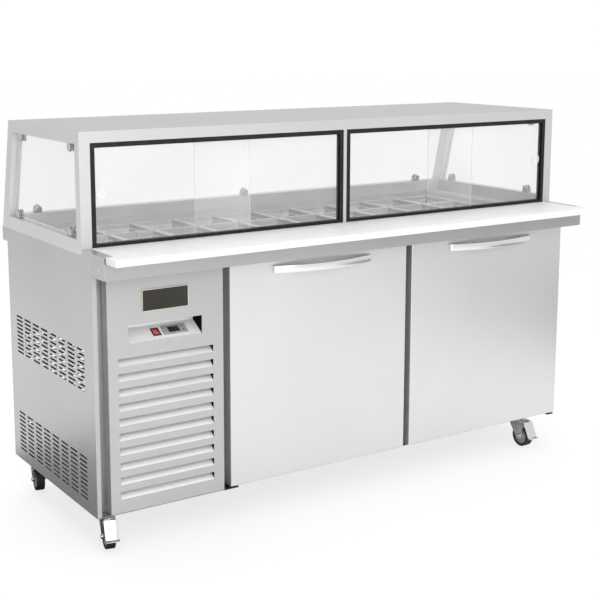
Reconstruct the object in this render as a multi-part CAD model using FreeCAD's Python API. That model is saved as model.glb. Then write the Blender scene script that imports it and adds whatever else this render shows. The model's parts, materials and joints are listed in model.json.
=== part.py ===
import FreeCAD, Part
import math
import os

# Refrigerated sandwich prep table: two-door cold cabinet, machine bay with a louvred
# front on the left, thirty food pans under a glass guard, and a full-width cutting board.
# Millimetres. Origin: centre of the footprint on the floor. +X right, -Y front, +Z up.

# ---- driving dimensions -------------------------------------------------------------
LENGTH = 1800.0            # overall width, left side sheet to right side sheet
DEPTH = 840.0              # front edge of the board to the rear edge of the worktop
HEIGHT = 1200.0            # floor to the guard roof
CASTER_HEIGHT = 105.0      # floor to the underside of the cabinet
BOARD_THICK = 19.0
DOOR_THICK = 50.0
PAN_PITCH_X = 159.0        # one sixth-size food pan, side to side
PAN_PITCH_Y = 176.0        # one sixth-size food pan, front to back
PAN_COLUMNS = 10
PAN_ROWS = 3
PAN_DEPTH = 98.0
SHEET = 1.5                # stainless sheet
GLASS = 5.0
GAP = 0.5                  # clearance between pieces that move past each other

# ---- planes worked out from them ----------------------------------------------------
LEFT = -LENGTH / 2
RIGHT = LENGTH / 2
BOARD_FRONT = -DEPTH / 2
TOP_REAR = DEPTH / 2
APRON_FRONT = BOARD_FRONT + 66.0
DOOR_FRONT = BOARD_FRONT + 152.0
DOOR_BACK = DOOR_FRONT + DOOR_THICK
CARCASS_FRONT = DOOR_FRONT + 62.0
GUARD_FRONT = CARCASS_FRONT + 2.0
CABINET_REAR = TOP_REAR - 41.0
INNER_LEFT = LEFT + SHEET
INNER_RIGHT = RIGHT - SHEET
BODY_BOTTOM = CASTER_HEIGHT
TRAY_TOP = BODY_BOTTOM + 2.0
GRILLE_BOTTOM = TRAY_TOP + GAP
DOOR_BOTTOM = BODY_BOTTOM + 5.0
DOOR_TOP = 803.0
EAR_BOTTOM = 808.0         # underside of the apron and of the side sheets' ears
LEDGE = 813.0              # underside of the worktop's rear overhang
WORKTOP = 857.0
EAR_TOP = 873.0
SHELF_TOP = WORKTOP - SHEET
FOAM_TOP = 705.0
ROOF_UNDER = HEIGHT - SHEET
EAR_FLANGE = 28.0          # flange folded in along the top of each ear
FRONT_RETURN = 13.0        # left side sheet's fold along its front edge
SCREW_Y = (APRON_FRONT + 40.0, APRON_FRONT + 108.0)
SCREW_Z = 831.0
SCREW_RADIUS = 4.0

# machine bay and grille
GRILLE_LEFT = LEFT + 43.0
GRILLE_RIGHT = LEFT + 415.0
FLANGE_BACK = CARCASS_FRONT - 4.0
LOUVER_LEFT = GRILLE_LEFT + 31.0
LOUVER_RIGHT = GRILLE_RIGHT - 34.0
LOUVER_COUNT = 10
LOUVER_PITCH = 43.6
LOUVER_LOWEST = 148.0      # lower edge of the lowest slot
LOUVER_HEIGHT = 22.0
LOUVER_DEPTH = 25.0
LOUVER_RISE = 18.0
BLADE_THICK = 2.0
RETURN_DEPTH = 34.0        # left return of the grille
HOOK_HEIGHT = 18.0         # tabs that tie that return to the bay's post
POST_LEG = 28.0
PARTITION = LEFT + 458.0   # wall between the machine bay and the cold cabinet

# control desk behind its slot in the grille
DESK_LEFT = LEFT + 107.0
DESK_RIGHT = LEFT + 344.0
DESK_BOTTOM = 602.0
DESK_SLOT_TOP = 656.0
DESK_REAR = DOOR_FRONT + 56.0
DESK_FRONT = DOOR_FRONT + SHEET
DESK_RISE = 32.0
DESK_ANGLE = math.degrees(math.atan2(DESK_RISE, DESK_REAR - DESK_FRONT))
DESK_MID = 31.0            # distance up the slope of the controls' centre line
SWITCH_X = LEFT + 207.0
CONTROLLER_X = LEFT + 267.0
KEY_X = CONTROLLER_X + 27.0
KEY_SPACING = 14.0
KEY_RADIUS = 2.6
ROCKER_TILT = 8.0
ROCKER_PIVOT_DEPTH = 2.0   # pivot below the desk surface

# doors
DOOR_EDGES = {"left": (LEFT + 439.0, LEFT + 1102.0), "right": (LEFT + 1125.0, LEFT + 1798.0)}
HANDLE_LENGTH = 362.0
HANDLE_LOW = 754.0
HANDLE_HIGH = 777.0
HANDLE_REACH = 40.0
HANDLE_FOOT = 9.0          # depth of the handle's ends
HANDLE_BAR = 7.0
HANDLE_TOE = 16.0          # length of each foot on the door
HINGE_INSET = 12.0         # hinge axis in from the door's edge and front face
HINGE_PIN = 4.0
HINGE_PLATE = 3.0
HINGE_REACH = (24.0, 29.0)     # plate beyond the left door's edge, and in under each door
HINGE_FOOT = 22.0              # lower plates run back this far under the tray
TRAY_SETBACK = 18.0            # front edge of the tray behind the doors' fronts
PIN_CLEARANCE = 0.1
PIN_DEPTH = 13.0
GASKET_WIDTH = 12.0
GASKET_HINGE_INSET = 25.0
GASKET_FREE_INSET = 5.0
GASKET_END_INSET = 14.0
SKIN = 1.0
SKIN_ROUND = 2.5
HOLE_SPARE = 1.0           # extra depth of the hinge pin holes
CAVITY = (PARTITION + 50.0, INNER_RIGHT - 48.5, 155.0, 667.0)  # x low, x high, z low, z high
CAVITY_REAR = CABINET_REAR - 49.0
MULLION_HALF = 30.5
MULLION_REAR = CARCASS_FRONT + 56.0

# pan well
WELL_HALF_X = PAN_COLUMNS * PAN_PITCH_X / 2
WELL_FRONT = GUARD_FRONT + 33.0
WELL_REAR = WELL_FRONT + PAN_ROWS * PAN_PITCH_Y
RIM_SEAT = 838.0           # underside of the pan rims
RIM_LEDGE = 7.0            # how far the well's ledge reaches in under the rims
WELL_FLOOR = 712.0
RIM_THICK = 1.5
PAN_WALL = 1.2
PAN_FLANGE = 8.5
PAN_TAPER = 10.0
PAN_CORNER = 20.0
BAR_WIDTH = 8.0
BAR_HEIGHT = 12.0

# glass guard
POST_X = 33.0
POST_Y = 30.0
RAIL_TOP = 897.0
WINDOW_TOP = 1165.0
LEAN = 0.24                # the rear of the guard leans back this much per unit of height
REAR_POST = 43.0
GUARD_TOP_REAR = TOP_REAR - 87.0
MID_POST_HALF = 6.0
TRACK_DEPTH = 19.0
TRACK_FACE = 14.0
TRACK_BOTTOM = 870.0
TRACK_TOP = 1168.0
GROOVE_DEPTH = 8.0
GROOVE_WIDTH = 6.0
GROOVE_OFFSETS = (2.0, 11.0)   # front edge of each groove behind the guard's front plane
SLIDING_GLASS = 4.0
PANE_LENGTHS = {"outer": 512.0, "inner": 520.0}
PULL_RADIUS = 18.0
PULL_THICK = 3.0
PULL_INSET = 26.0
PULL_HEIGHT = 1027.0
SIDE_CLAMPS = (-106.0, 306.0)      # y of the clamps under the side panes
SIDE_TOP_CLAMPS = (-117.0, 262.0)  # y of those over them
REAR_CLAMPS = (-795.0, -20.0, 762.0)
CLAMP_WIDTH = 24.0
CLAMP_REACH = 26.0
CLAMP_THICK = 19.0
GLASS_MARGIN = 5.0

# casters
CASTER_X = (LEFT + 51.0, LEFT + 1671.0)
CASTER_Y = (DOOR_FRONT + 58.0, DOOR_FRONT + 597.0)
WHEEL_RADIUS = 37.5
WHEEL_HALF = 13.0
CASTER_TRAIL = 32.0
AXLE_RADIUS = 4.0
FORK_INNER = 15.0
FORK_SHEET = 2.5
FORK_TOP = 95.0
FORK_FRONT = -50.0
FORK_REAR = 16.0
CASTER_YAW = {"fl": -12.0, "fr": 0.0, "rl": -10.0, "rr": 0.0}
PEDAL_PIVOT = (-42.0, 84.0)    # in front of the swivel axis, above the floor
PEDAL_PIN = 3.0
PEDAL_HALF = 20.0

# refrigeration
FAN_X = (GRILLE_LEFT + GRILLE_RIGHT) / 2
FAN_Z = 280.0
FAN_RADIUS = 110.0
CONDENSER_FRONT = CARCASS_FRONT + 56.0
CONDENSER_DEPTH = 44.0
SHROUD_DEPTH = 24.0
EVAPORATOR_FAN = (LEFT + 1114.0, 570.0)   # x, z of the cold cabinet's fan
EVAPORATOR_RADIUS = 70.0

V = FreeCAD.Vector
X_AXIS = V(1, 0, 0)
Y_AXIS = V(0, 1, 0)
Z_AXIS = V(0, 0, 1)
NODES = {}


# ---- shape helpers ------------------------------------------------------------------
def box(x_low, x_high, y_low, y_high, z_low, z_high):
    """Block between two corners."""
    return Part.makeBox(x_high - x_low, y_high - y_low, z_high - z_low, V(x_low, y_low, z_low))


def at(normal, u, v, w):
    """Point at u, v on the plane across an axis, w along that axis."""
    return {"x": V(w, u, v), "y": V(u, w, v), "z": V(u, v, w)}[normal]


def loop(normal, corners, w):
    """Closed wire through corners (u, v) or (u, v, radius), rounding those with a radius."""
    edges = []
    count = len(corners)
    starts = []
    for index in range(count):
        here = V(corners[index][0], corners[index][1], 0)
        radius = corners[index][2] if len(corners[index]) > 2 else 0.0
        if radius == 0.0:
            starts.append((here, None, here))
            continue
        before = V(corners[index - 1][0], corners[index - 1][1], 0) - here
        after = V(corners[(index + 1) % count][0], corners[(index + 1) % count][1], 0) - here
        before.normalize()
        after.normalize()
        half = before.getAngle(after) / 2
        reach = radius / math.tan(half)
        inward = before + after
        inward.normalize()
        middle = here + inward * (radius / math.sin(half) - radius)
        starts.append((here + before * reach, middle, here + after * reach))
    for index in range(count):
        first, middle, last = starts[index]
        onward = starts[(index + 1) % count][0]
        if middle is not None:
            arc = Part.Arc(*(at(normal, p.x, p.y, w) for p in (first, middle, last)))
            edges.append(arc.toShape())
        edges.append(Part.makeLine(at(normal, last.x, last.y, w), at(normal, onward.x, onward.y, w)))
    return Part.Wire(edges)


def rectangle(u_low, u_high, v_low, v_high, radius=0.0):
    """Corners of a rectangle, all rounded by one radius."""
    return [(u_low, v_low, radius), (u_high, v_low, radius),
            (u_high, v_high, radius), (u_low, v_high, radius)]


def slab(normal, w_low, w_high, outline, holes=()):
    """Prism along an axis from an outline, with holes through it."""
    wires = [loop(normal, outline, w_low)]
    wires += [loop(normal, hole, w_low) for hole in holes]
    face = Part.makeFace(wires, "Part::FaceMakerBullseye")
    return face.extrude(at(normal, 0, 0, w_high - w_low))


def rod(start, axis, radius, length):
    """Cylinder from a start point along an axis."""
    return Part.makeCylinder(radius, length, V(*start), axis)


def union(shapes):
    """One solid from overlapping or touching shapes."""
    joined = shapes[0].multiFuse(shapes[1:])
    return joined.removeSplitter()


def mirrored(shape):
    """The same shape on the other side of the table."""
    return shape.mirror(V(0, 0, 0), X_AXIS)


def moved(shape, x=0.0, y=0.0, z=0.0):
    """A copy of a shape, shifted."""
    copy = shape.copy()
    copy.translate(V(x, y, z))
    return copy


def turned(shape, centre, axis, degrees):
    """A copy of a shape, turned about a point."""
    copy = shape.copy()
    copy.rotate(V(*centre), axis, degrees)
    return copy


def keep(name, *shapes):
    """Files the solids of one node."""
    NODES[name] = shapes[0] if len(shapes) == 1 else Part.makeCompound(list(shapes))


def slot_grid(u_low, u_high, v_low, v_high, columns, rows, length, height):
    """Outlines of a block of round-ended vent slots."""
    step_u = (u_high - u_low - length) / (columns - 1)
    step_v = (v_high - v_low - height) / (rows - 1)
    nearly_half = height * 0.49
    grid = []
    for column in range(columns):
        for row in range(rows):
            u = u_low + column * step_u
            v = v_low + row * step_v
            grid.append(rectangle(u, u + length, v, v + height, nearly_half))
    return grid


def open_box(x_low, x_high, y_low, y_high, z_low, z_high, wall, open_side):
    """Sheet box with one side left off: 'front' or 'top'."""
    outer = box(x_low, x_high, y_low, y_high, z_low, z_high)
    y_start = y_low if open_side == "front" else y_low + wall
    z_end = z_high if open_side == "top" else z_high - wall
    return outer.cut(box(x_low + wall, x_high - wall, y_start, y_high - wall, z_low + wall, z_end))


# ---- cabinet ------------------------------------------------------------------------
def side_outline(body_front):
    """Side sheet: body, ear that carries the board shelf, and rear overhang."""
    return [(body_front, BODY_BOTTOM), (CABINET_REAR, BODY_BOTTOM), (CABINET_REAR, LEDGE),
            (TOP_REAR, LEDGE, 4.0), (TOP_REAR, WORKTOP), (GUARD_FRONT, WORKTOP),
            (GUARD_FRONT, EAR_TOP), (APRON_FRONT, EAR_TOP, 2.0), (APRON_FRONT, EAR_BOTTOM, 8.0),
            (body_front, EAR_BOTTOM)]


def screw_holes():
    """Outlines of the two holes through each ear."""
    return [rectangle(y - SCREW_RADIUS, y + SCREW_RADIUS, SCREW_Z - SCREW_RADIUS,
                      SCREW_Z + SCREW_RADIUS, SCREW_RADIUS * 0.99) for y in SCREW_Y]


def ear_flange():
    """Flange folded in along the top of the left ear."""
    return box(LEFT, LEFT + EAR_FLANGE, APRON_FRONT, GUARD_FRONT, EAR_TOP - SHEET, EAR_TOP)


def side_panels():
    """Left sheet has two blocks of vents and a front return; the right one is plain."""
    vents = slot_grid(DOOR_FRONT + 65, DOOR_FRONT + 590, 464, 585, 8, 10, 52, 6)
    vents += slot_grid(DOOR_FRONT + 65, DOOR_FRONT + 595, 140, 268, 8, 10, 52, 6)
    left = slab("x", LEFT, INNER_LEFT, side_outline(DOOR_FRONT), vents + screw_holes())
    front_return = box(LEFT, LEFT + FRONT_RETURN, DOOR_FRONT, DOOR_FRONT + SHEET,
                       GRILLE_BOTTOM, EAR_BOTTOM)
    keep("side_panel_left", union([left, ear_flange(), front_return]))
    right = slab("x", INNER_RIGHT, RIGHT, side_outline(CARCASS_FRONT), screw_holes())
    keep("side_panel_right", union([right, mirrored(ear_flange())]))
    heads = []
    for y in SCREW_Y:
        head = rod((LEFT + 0.3, y, SCREW_Z), X_AXIS, SCREW_RADIUS - 0.2, SHEET * 1.5)
        shank = rod((LEFT + 0.3, y, SCREW_Z), X_AXIS, SCREW_RADIUS - 1.5, 10.0)
        screw = union([head, shank])
        heads += [screw, mirrored(screw)]
    keep("panel_screws", *heads)


def back_and_base():
    """Back sheet with vents behind the machine bay and a cord gland; base tray, cut back at the hinges."""
    vents = slot_grid(LEFT + 50, PARTITION - 50, 200, 500, 5, 12, 60, 7)
    back = slab("y", CABINET_REAR - SHEET, CABINET_REAR,
                rectangle(INNER_LEFT, INNER_RIGHT, TRAY_TOP, LEDGE), vents)
    gland_x = LEFT + 120.0
    gland_z = 160.0
    gland = rod((gland_x, CABINET_REAR, gland_z), Y_AXIS, 11.0, 12.0)
    gland = gland.cut(rod((gland_x, CABINET_REAR, gland_z), Y_AXIS, 5.0, 12.0))
    keep("back_panel", back, gland)
    rear = CABINET_REAR - SHEET
    inward = HINGE_REACH[1] + GAP
    spans = [(INNER_LEFT, GRILLE_RIGHT, DOOR_FRONT, rear), (GRILLE_RIGHT, INNER_RIGHT, CARCASS_FRONT, rear),
             (DOOR_EDGES["left"][0] + inward, DOOR_EDGES["right"][1] - inward,
              DOOR_FRONT + TRAY_SETBACK, CARCASS_FRONT)]
    keep("base_tray", union([box(a, b, c, d, BODY_BOTTOM, TRAY_TOP) for a, b, c, d in spans]))


def bay_panels():
    """Partition of the machine bay and the posts either side of its front."""
    wall = box(PARTITION - SHEET, PARTITION, CARCASS_FRONT, CABINET_REAR - SHEET, TRAY_TOP, FOAM_TOP)
    post_back = FLANGE_BACK + SHEET
    left_face = box(INNER_LEFT, GRILLE_LEFT + SHEET, FLANGE_BACK, post_back, TRAY_TOP, EAR_BOTTOM)
    left_leg = box(GRILLE_LEFT, GRILLE_LEFT + SHEET, FLANGE_BACK, post_back + POST_LEG, TRAY_TOP, EAR_BOTTOM)
    right_face = box(GRILLE_RIGHT - SHEET, PARTITION - SHEET, FLANGE_BACK, post_back,
                     TRAY_TOP, EAR_BOTTOM)
    right_leg = box(GRILLE_RIGHT - SHEET, GRILLE_RIGHT, FLANGE_BACK, post_back + POST_LEG,
                    TRAY_TOP, EAR_BOTTOM)
    keep("bay_panels", wall, union([left_face, left_leg]), union([right_face, right_leg]))


def cold_cabinet():
    """Foam body, sheet liner inside it, and the breaker strips its doors close on."""
    x_low, x_high, z_low, z_high = CAVITY
    foam = box(PARTITION, INNER_RIGHT, GUARD_FRONT, CABINET_REAR - SHEET, TRAY_TOP, FOAM_TOP)
    keep("insulation_foam", foam.cut(box(x_low, x_high, GUARD_FRONT, CAVITY_REAR, z_low, z_high)))
    liner = open_box(x_low, x_high, GUARD_FRONT, CAVITY_REAR, z_low, z_high, SHEET, "front")
    keep("inner_liner", liner)
    low = z_low + SHEET
    high = z_high - SHEET
    left = x_low + SHEET
    right = x_high - SHEET
    mullion = (DOOR_EDGES["left"][1] + DOOR_EDGES["right"][0]) / 2
    strips = [
        box(PARTITION, left, CARCASS_FRONT, GUARD_FRONT, TRAY_TOP, SHELF_TOP - SHEET),
        box(right, INNER_RIGHT, CARCASS_FRONT, GUARD_FRONT, TRAY_TOP, SHELF_TOP - SHEET),
        box(left, right, CARCASS_FRONT, GUARD_FRONT, TRAY_TOP, low),
        box(left, right, CARCASS_FRONT, GUARD_FRONT, high, SHELF_TOP - SHEET),
        box(mullion - MULLION_HALF, mullion + MULLION_HALF, CARCASS_FRONT, MULLION_REAR, low, high),
    ]
    keep("breaker_frame", *strips)
    shelves = [wire_shelf(left + 6, mullion - 20), wire_shelf(mullion + 20, right - 6)]
    keep("wire_shelves", *shelves)


def wire_shelf(x_low, x_high):
    """Shelf of round wires on three cross wires."""
    wire = 2.5
    level = 400.0
    front = MULLION_REAR + 8.0
    rear = CAVITY_REAR - 66.0
    spacing = 36.0
    count = int((x_high - x_low) // spacing)
    inset = (x_high - x_low - (count - 1) * spacing) / 2
    wires = [rod((x_low + inset + n * spacing, front, level), Y_AXIS, wire, rear - front)
             for n in range(count)]
    for y in (front + 12, (front + rear) / 2, rear - 12):
        wires.append(rod((x_low, y, level - 3.5), X_AXIS, wire, x_high - x_low))
    return union(wires)


def grille():
    """Front cover of the machine bay: inward louvres, a slot for the controls, two returns."""
    slots = []
    blades = []
    for n in range(LOUVER_COUNT):
        low = LOUVER_LOWEST + n * LOUVER_PITCH
        slots.append(rectangle(LOUVER_LEFT, LOUVER_RIGHT, low, low + LOUVER_HEIGHT))
        back = DOOR_FRONT + LOUVER_DEPTH
        profile = [(DOOR_FRONT, low - BLADE_THICK), (DOOR_FRONT, low), (back, low + LOUVER_RISE),
                   (back, low + LOUVER_RISE - BLADE_THICK), (DOOR_FRONT + SHEET, low - BLADE_THICK)]
        blades.append(slab("x", LOUVER_LEFT, LOUVER_RIGHT, profile))
    slots.append(rectangle(DESK_LEFT, DESK_RIGHT, DESK_BOTTOM, DESK_SLOT_TOP))
    cover = slab("y", DOOR_FRONT, DOOR_FRONT + SHEET,
                 rectangle(GRILLE_LEFT, GRILLE_RIGHT, GRILLE_BOTTOM, DOOR_TOP), slots)
    left_back = DOOR_FRONT + RETURN_DEPTH
    returns = [box(GRILLE_LEFT, GRILLE_LEFT + SHEET, DOOR_FRONT, left_back, GRILLE_BOTTOM, DOOR_TOP),
               box(GRILLE_RIGHT - SHEET, GRILLE_RIGHT, DOOR_FRONT, FLANGE_BACK, GRILLE_BOTTOM, DOOR_TOP)]
    hooks = [box(GRILLE_LEFT, GRILLE_LEFT + SHEET, left_back, FLANGE_BACK, low, low + HOOK_HEIGHT)
             for low in (GRILLE_BOTTOM, DOOR_TOP - HOOK_HEIGHT)]
    keep("front_grille", union([cover] + blades + returns + hooks))
    plate_x = (LEFT + 151.0, LEFT + 299.0)
    keep("nameplate", slab("y", DOOR_FRONT - 1.6, DOOR_FRONT,
                           rectangle(plate_x[0], plate_x[1], 690.0, 753.0, 3.0)))


# ---- controls -----------------------------------------------------------------------
def on_desk(shape):
    """Places a shape drawn flat, X across, Y up the slope, Z out of it, on the desk."""
    copy = shape.copy()
    copy.rotate(V(0, 0, 0), X_AXIS, DESK_ANGLE)
    copy.translate(V(0, DESK_FRONT, DESK_BOTTOM))
    return copy


def centred(x, half_x, half_y, z_low, z_high):
    """Block centred on the controls' line of the desk."""
    return box(x - half_x, x + half_x, DESK_MID - half_y, DESK_MID + half_y, z_low, z_high)


def controls():
    """Sloping desk with a rocker switch and a temperature controller with two keys."""
    back_top = DESK_BOTTOM + DESK_RISE + 36.0
    outline = [(DESK_FRONT, DESK_BOTTOM), (DESK_REAR, DESK_BOTTOM + DESK_RISE), (DESK_REAR, back_top),
               (DESK_REAR + SHEET, back_top), (DESK_REAR + SHEET, DESK_BOTTOM + DESK_RISE - 1),
               (DESK_FRONT, DESK_BOTTOM - 1.8)]
    desk = slab("x", DESK_LEFT, DESK_RIGHT, outline)
    switch_neck = on_desk(centred(SWITCH_X, 10.5, 13.5, -18.0, 0.0))
    controller_neck = on_desk(centred(CONTROLLER_X, 34.0, 15.0, -28.0, 0.0))
    keep("control_panel", desk.cut(switch_neck).cut(controller_neck))

    flange = on_desk(centred(SWITCH_X, 12.5, 15.5, 0.0, 2.5))
    pocket = on_desk(centred(SWITCH_X, 8.6, 11.6, -14.0, 2.5))
    keep("switch_bezel", union([flange, switch_neck]).cut(pocket))
    profile = [(-10.4, -6.0), (10.4, -6.0), (10.4, 3.8), (0.0, 1.6), (-10.4, 3.8)]
    rocker = slab("x", SWITCH_X - 8.0, SWITCH_X + 8.0, profile)
    rocker = union([rocker, rod((SWITCH_X - 8.2, 0, 0), X_AXIS, 1.2, 16.4)])
    rocker = turned(rocker, (SWITCH_X, 0, 0), X_AXIS, -ROCKER_TILT)
    keep("rocker_switch", on_desk(moved(rocker, y=DESK_MID, z=-ROCKER_PIVOT_DEPTH)))

    face = centred(CONTROLLER_X, 38.5, 18.0, 0.0, 4.0)
    window = box(CONTROLLER_X - 21, CONTROLLER_X + 15, DESK_MID - 12, DESK_MID + 12, 3.2, 4.0)
    body = on_desk(face.cut(window))
    key_places = {"key_down": DESK_MID - KEY_SPACING / 2, "key_up": DESK_MID + KEY_SPACING / 2}
    body = union([body, controller_neck])
    for name, place in key_places.items():
        body = body.cut(on_desk(rod((KEY_X, place, 0.5), Z_AXIS, KEY_RADIUS + 0.3, 3.5)))
        keep(name, on_desk(rod((KEY_X, place, 1.6), Z_AXIS, KEY_RADIUS, 3.4)))
    keep("controller_body", body)


# ---- doors --------------------------------------------------------------------------
def hinge_places(side):
    """Hinge axis of a door: x and y."""
    low, high = DOOR_EDGES[side]
    x = low + HINGE_INSET if side == "left" else high - HINGE_INSET
    return x, DOOR_FRONT + HINGE_INSET


def rounded_front(block, radius):
    """A block with the edges of its front face rounded."""
    front = block.BoundBox.YMin
    rim = [edge for edge in block.Edges if edge.BoundBox.YMax - front < SHEET / 2]
    return block.makeFillet(radius, rim)


def door(side):
    """Foam-filled door in a folded skin, with its gasket and pull."""
    low, high = DOOR_EDGES[side]
    outer = box(low, high, DOOR_FRONT, DOOR_BACK - SKIN, DOOR_BOTTOM, DOOR_TOP)
    inner = box(low + SKIN, high - SKIN, DOOR_FRONT + SKIN, DOOR_BACK, DOOR_BOTTOM + SKIN, DOOR_TOP - SKIN)
    skin = rounded_front(outer, SKIN_ROUND)
    core = rounded_front(inner, SKIN_ROUND - SKIN)
    skin = skin.cut(core)
    x, y = hinge_places(side)
    deep = PIN_DEPTH + HOLE_SPARE
    for z in (DOOR_BOTTOM, DOOR_TOP - deep):
        hole = rod((x, y, z), Z_AXIS, HINGE_PIN + PIN_CLEARANCE, deep)
        skin = skin.cut(hole)
        core = core.cut(hole)
    keep("door_%s_skin" % side, skin)
    keep("door_%s_core" % side, core)
    keep("door_%s_gasket" % side, *gasket(side, low, high))
    keep("door_%s_handle" % side, bowed_handle((low + high) / 2))


def gasket(side, low, high):
    """Four strips round the back of a door, clear of its hinge pins."""
    insets = (GASKET_HINGE_INSET, GASKET_FREE_INSET)
    if side == "right":
        insets = insets[::-1]
    x_low = low + insets[0]
    x_high = high - insets[1]
    z_low = DOOR_BOTTOM + GASKET_END_INSET
    z_high = DOOR_TOP - GASKET_END_INSET
    w = GASKET_WIDTH
    spans = [(x_low, x_low + w, z_low, z_high), (x_high - w, x_high, z_low, z_high),
             (x_low + w, x_high - w, z_low, z_low + w), (x_low + w, x_high - w, z_high - w, z_high)]
    return [box(a, b, DOOR_BACK, CARCASS_FRONT - GAP, c, d) for a, b, c, d in spans]


def bowed_handle(centre):
    """Flat bar bowed out from the door between two feet."""
    end = HANDLE_LENGTH / 2
    inner_end = end - HANDLE_TOE
    foot = DOOR_FRONT - HANDLE_FOOT
    crest = DOOR_FRONT - HANDLE_REACH
    edges = []
    for half, y_end, y_crest in ((end, foot, crest), (inner_end, DOOR_FRONT, crest + HANDLE_BAR)):
        edges.append(Part.Arc(V(centre - half, y_end, HANDLE_LOW), V(centre, y_crest, HANDLE_LOW),
                              V(centre + half, y_end, HANDLE_LOW)).toShape())
    for sign in (-1, 1):
        heel = V(centre + sign * end, DOOR_FRONT, HANDLE_LOW)
        edges.append(Part.makeLine(V(centre + sign * end, foot, HANDLE_LOW), heel))
        edges.append(Part.makeLine(heel, V(centre + sign * inner_end, DOOR_FRONT, HANDLE_LOW)))
    wire = Part.Wire(Part.sortEdges(edges)[0])
    return Part.Face(wire).extrude(V(0, 0, HANDLE_HIGH - HANDLE_LOW))


def hinge_brackets():
    """Black plates with a pin, under and over the outer corner of each door."""
    brackets = []
    front = DOOR_FRONT + 4
    for side, (low, high) in DOOR_EDGES.items():
        x, y = hinge_places(side)
        left = low - HINGE_REACH[0] if side == "left" else high - HINGE_REACH[1]
        right = low + HINGE_REACH[1] if side == "left" else high
        z = BODY_BOTTOM - HINGE_PLATE
        plate = box(left, right, front, CARCASS_FRONT + HINGE_FOOT, z, BODY_BOTTOM)
        pin = rod((x, y, z), Z_AXIS, HINGE_PIN, DOOR_BOTTOM + PIN_DEPTH - z)
        brackets.append(union([plate, pin]))
        z = DOOR_TOP + HINGE_PLATE / 2
        plate = box(left, right, front, FLANGE_BACK, z, z + HINGE_PLATE)
        tab = box(max(x - 10, PARTITION - SHEET), x + 10, FLANGE_BACK, CARCASS_FRONT, z, z + HINGE_PLATE)
        pin = rod((x, y, DOOR_TOP - PIN_DEPTH), Z_AXIS, HINGE_PIN, PIN_DEPTH + HINGE_PLATE)
        brackets.append(union([plate, tab, pin]))
    keep("hinge_brackets", *brackets)


# ---- top ----------------------------------------------------------------------------
def worktop():
    """Top sheet with the pan opening, its turned-down lip, and the rear overhang."""
    opening = rectangle(-WELL_HALF_X - 1, WELL_HALF_X + 1, WELL_FRONT - 1, WELL_REAR + 1)
    collar = rectangle(-WELL_HALF_X - 1 - SHEET, WELL_HALF_X + 1 + SHEET,
                       WELL_FRONT - 1 - SHEET, WELL_REAR + 1 + SHEET)
    sheet = slab("z", WORKTOP - SHEET, WORKTOP,
                 rectangle(INNER_LEFT, INNER_RIGHT, GUARD_FRONT, TOP_REAR), [opening])
    lip = slab("z", RIM_SEAT, WORKTOP, collar, [opening])
    rear = box(INNER_LEFT, INNER_RIGHT, TOP_REAR - SHEET, TOP_REAR, LEDGE, WORKTOP)
    under = box(INNER_LEFT, INNER_RIGHT, CABINET_REAR, TOP_REAR, LEDGE, LEDGE + SHEET)
    keep("worktop", union([sheet, lip, rear, under]))


def board_shelf():
    """Folded shelf under the cutting board: top, apron, lower return and two end plates."""
    profile = [(APRON_FRONT, EAR_BOTTOM), (APRON_FRONT + 24, EAR_BOTTOM),
               (APRON_FRONT + 24, EAR_BOTTOM + SHEET), (APRON_FRONT + SHEET, EAR_BOTTOM + SHEET),
               (APRON_FRONT + SHEET, SHELF_TOP - SHEET), (GUARD_FRONT, SHELF_TOP - SHEET),
               (GUARD_FRONT, SHELF_TOP), (APRON_FRONT, SHELF_TOP, 2.0)]
    shelf = slab("x", INNER_LEFT, INNER_RIGHT, profile)
    plate = rectangle(APRON_FRONT, CARCASS_FRONT - 4, EAR_BOTTOM, SHELF_TOP)
    ends = [slab("x", x, x + SHEET, plate, screw_holes()) for x in (INNER_LEFT, INNER_RIGHT - SHEET)]
    keep("board_shelf", union([shelf] + ends))


def cutting_board():
    """Full-width board, notched to drop between the two ears."""
    side = LENGTH / 2 - 3.0
    notch = LENGTH / 2 - EAR_FLANGE - 1.0
    step = APRON_FRONT - 1.0
    rear = CARCASS_FRONT
    outline = [(-side, BOARD_FRONT, 4.0), (side, BOARD_FRONT, 4.0), (side, step), (notch, step),
               (notch, rear), (-notch, rear), (-notch, step), (-side, step)]
    low = SHELF_TOP + 0.3
    board = slab("z", low, low + BOARD_THICK, outline)
    keep("cutting_board", board)


def pan_well():
    """Tray that the pans hang in, with a ledge for their rims, and two cross bars."""
    half = WELL_HALF_X - RIM_LEDGE
    front = WELL_FRONT + RIM_LEDGE
    rear = WELL_REAR - RIM_LEDGE
    tray = open_box(-half - SHEET, half + SHEET, front - SHEET, rear + SHEET,
                    WELL_FLOOR, RIM_SEAT, SHEET, "top")
    ledge = slab("z", RIM_SEAT - SHEET, RIM_SEAT,
                 rectangle(-WELL_HALF_X - 16, WELL_HALF_X + 16, WELL_FRONT - 16, WELL_REAR + 16),
                 [rectangle(-half, half, front, rear)])
    keep("pan_well", union([tray, ledge]))
    bars = []
    for row in range(1, PAN_ROWS):
        y = WELL_FRONT + row * PAN_PITCH_Y
        bars.append(box(-half, half, y - BAR_WIDTH / 2, y + BAR_WIDTH / 2,
                        RIM_SEAT - BAR_HEIGHT, RIM_SEAT))
    keep("pan_divider_bars", *bars)


def tapered(half_x, half_y, radius, z_low, z_high, inset):
    """Tub shape that narrows downwards."""
    top = loop("z", rectangle(-half_x, half_x, -half_y, half_y, radius), z_high)
    foot = loop("z", rectangle(inset - half_x, half_x - inset, inset - half_y, half_y - inset,
                               radius), z_low)
    return Part.makeLoft([foot, top], True, True)


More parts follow.
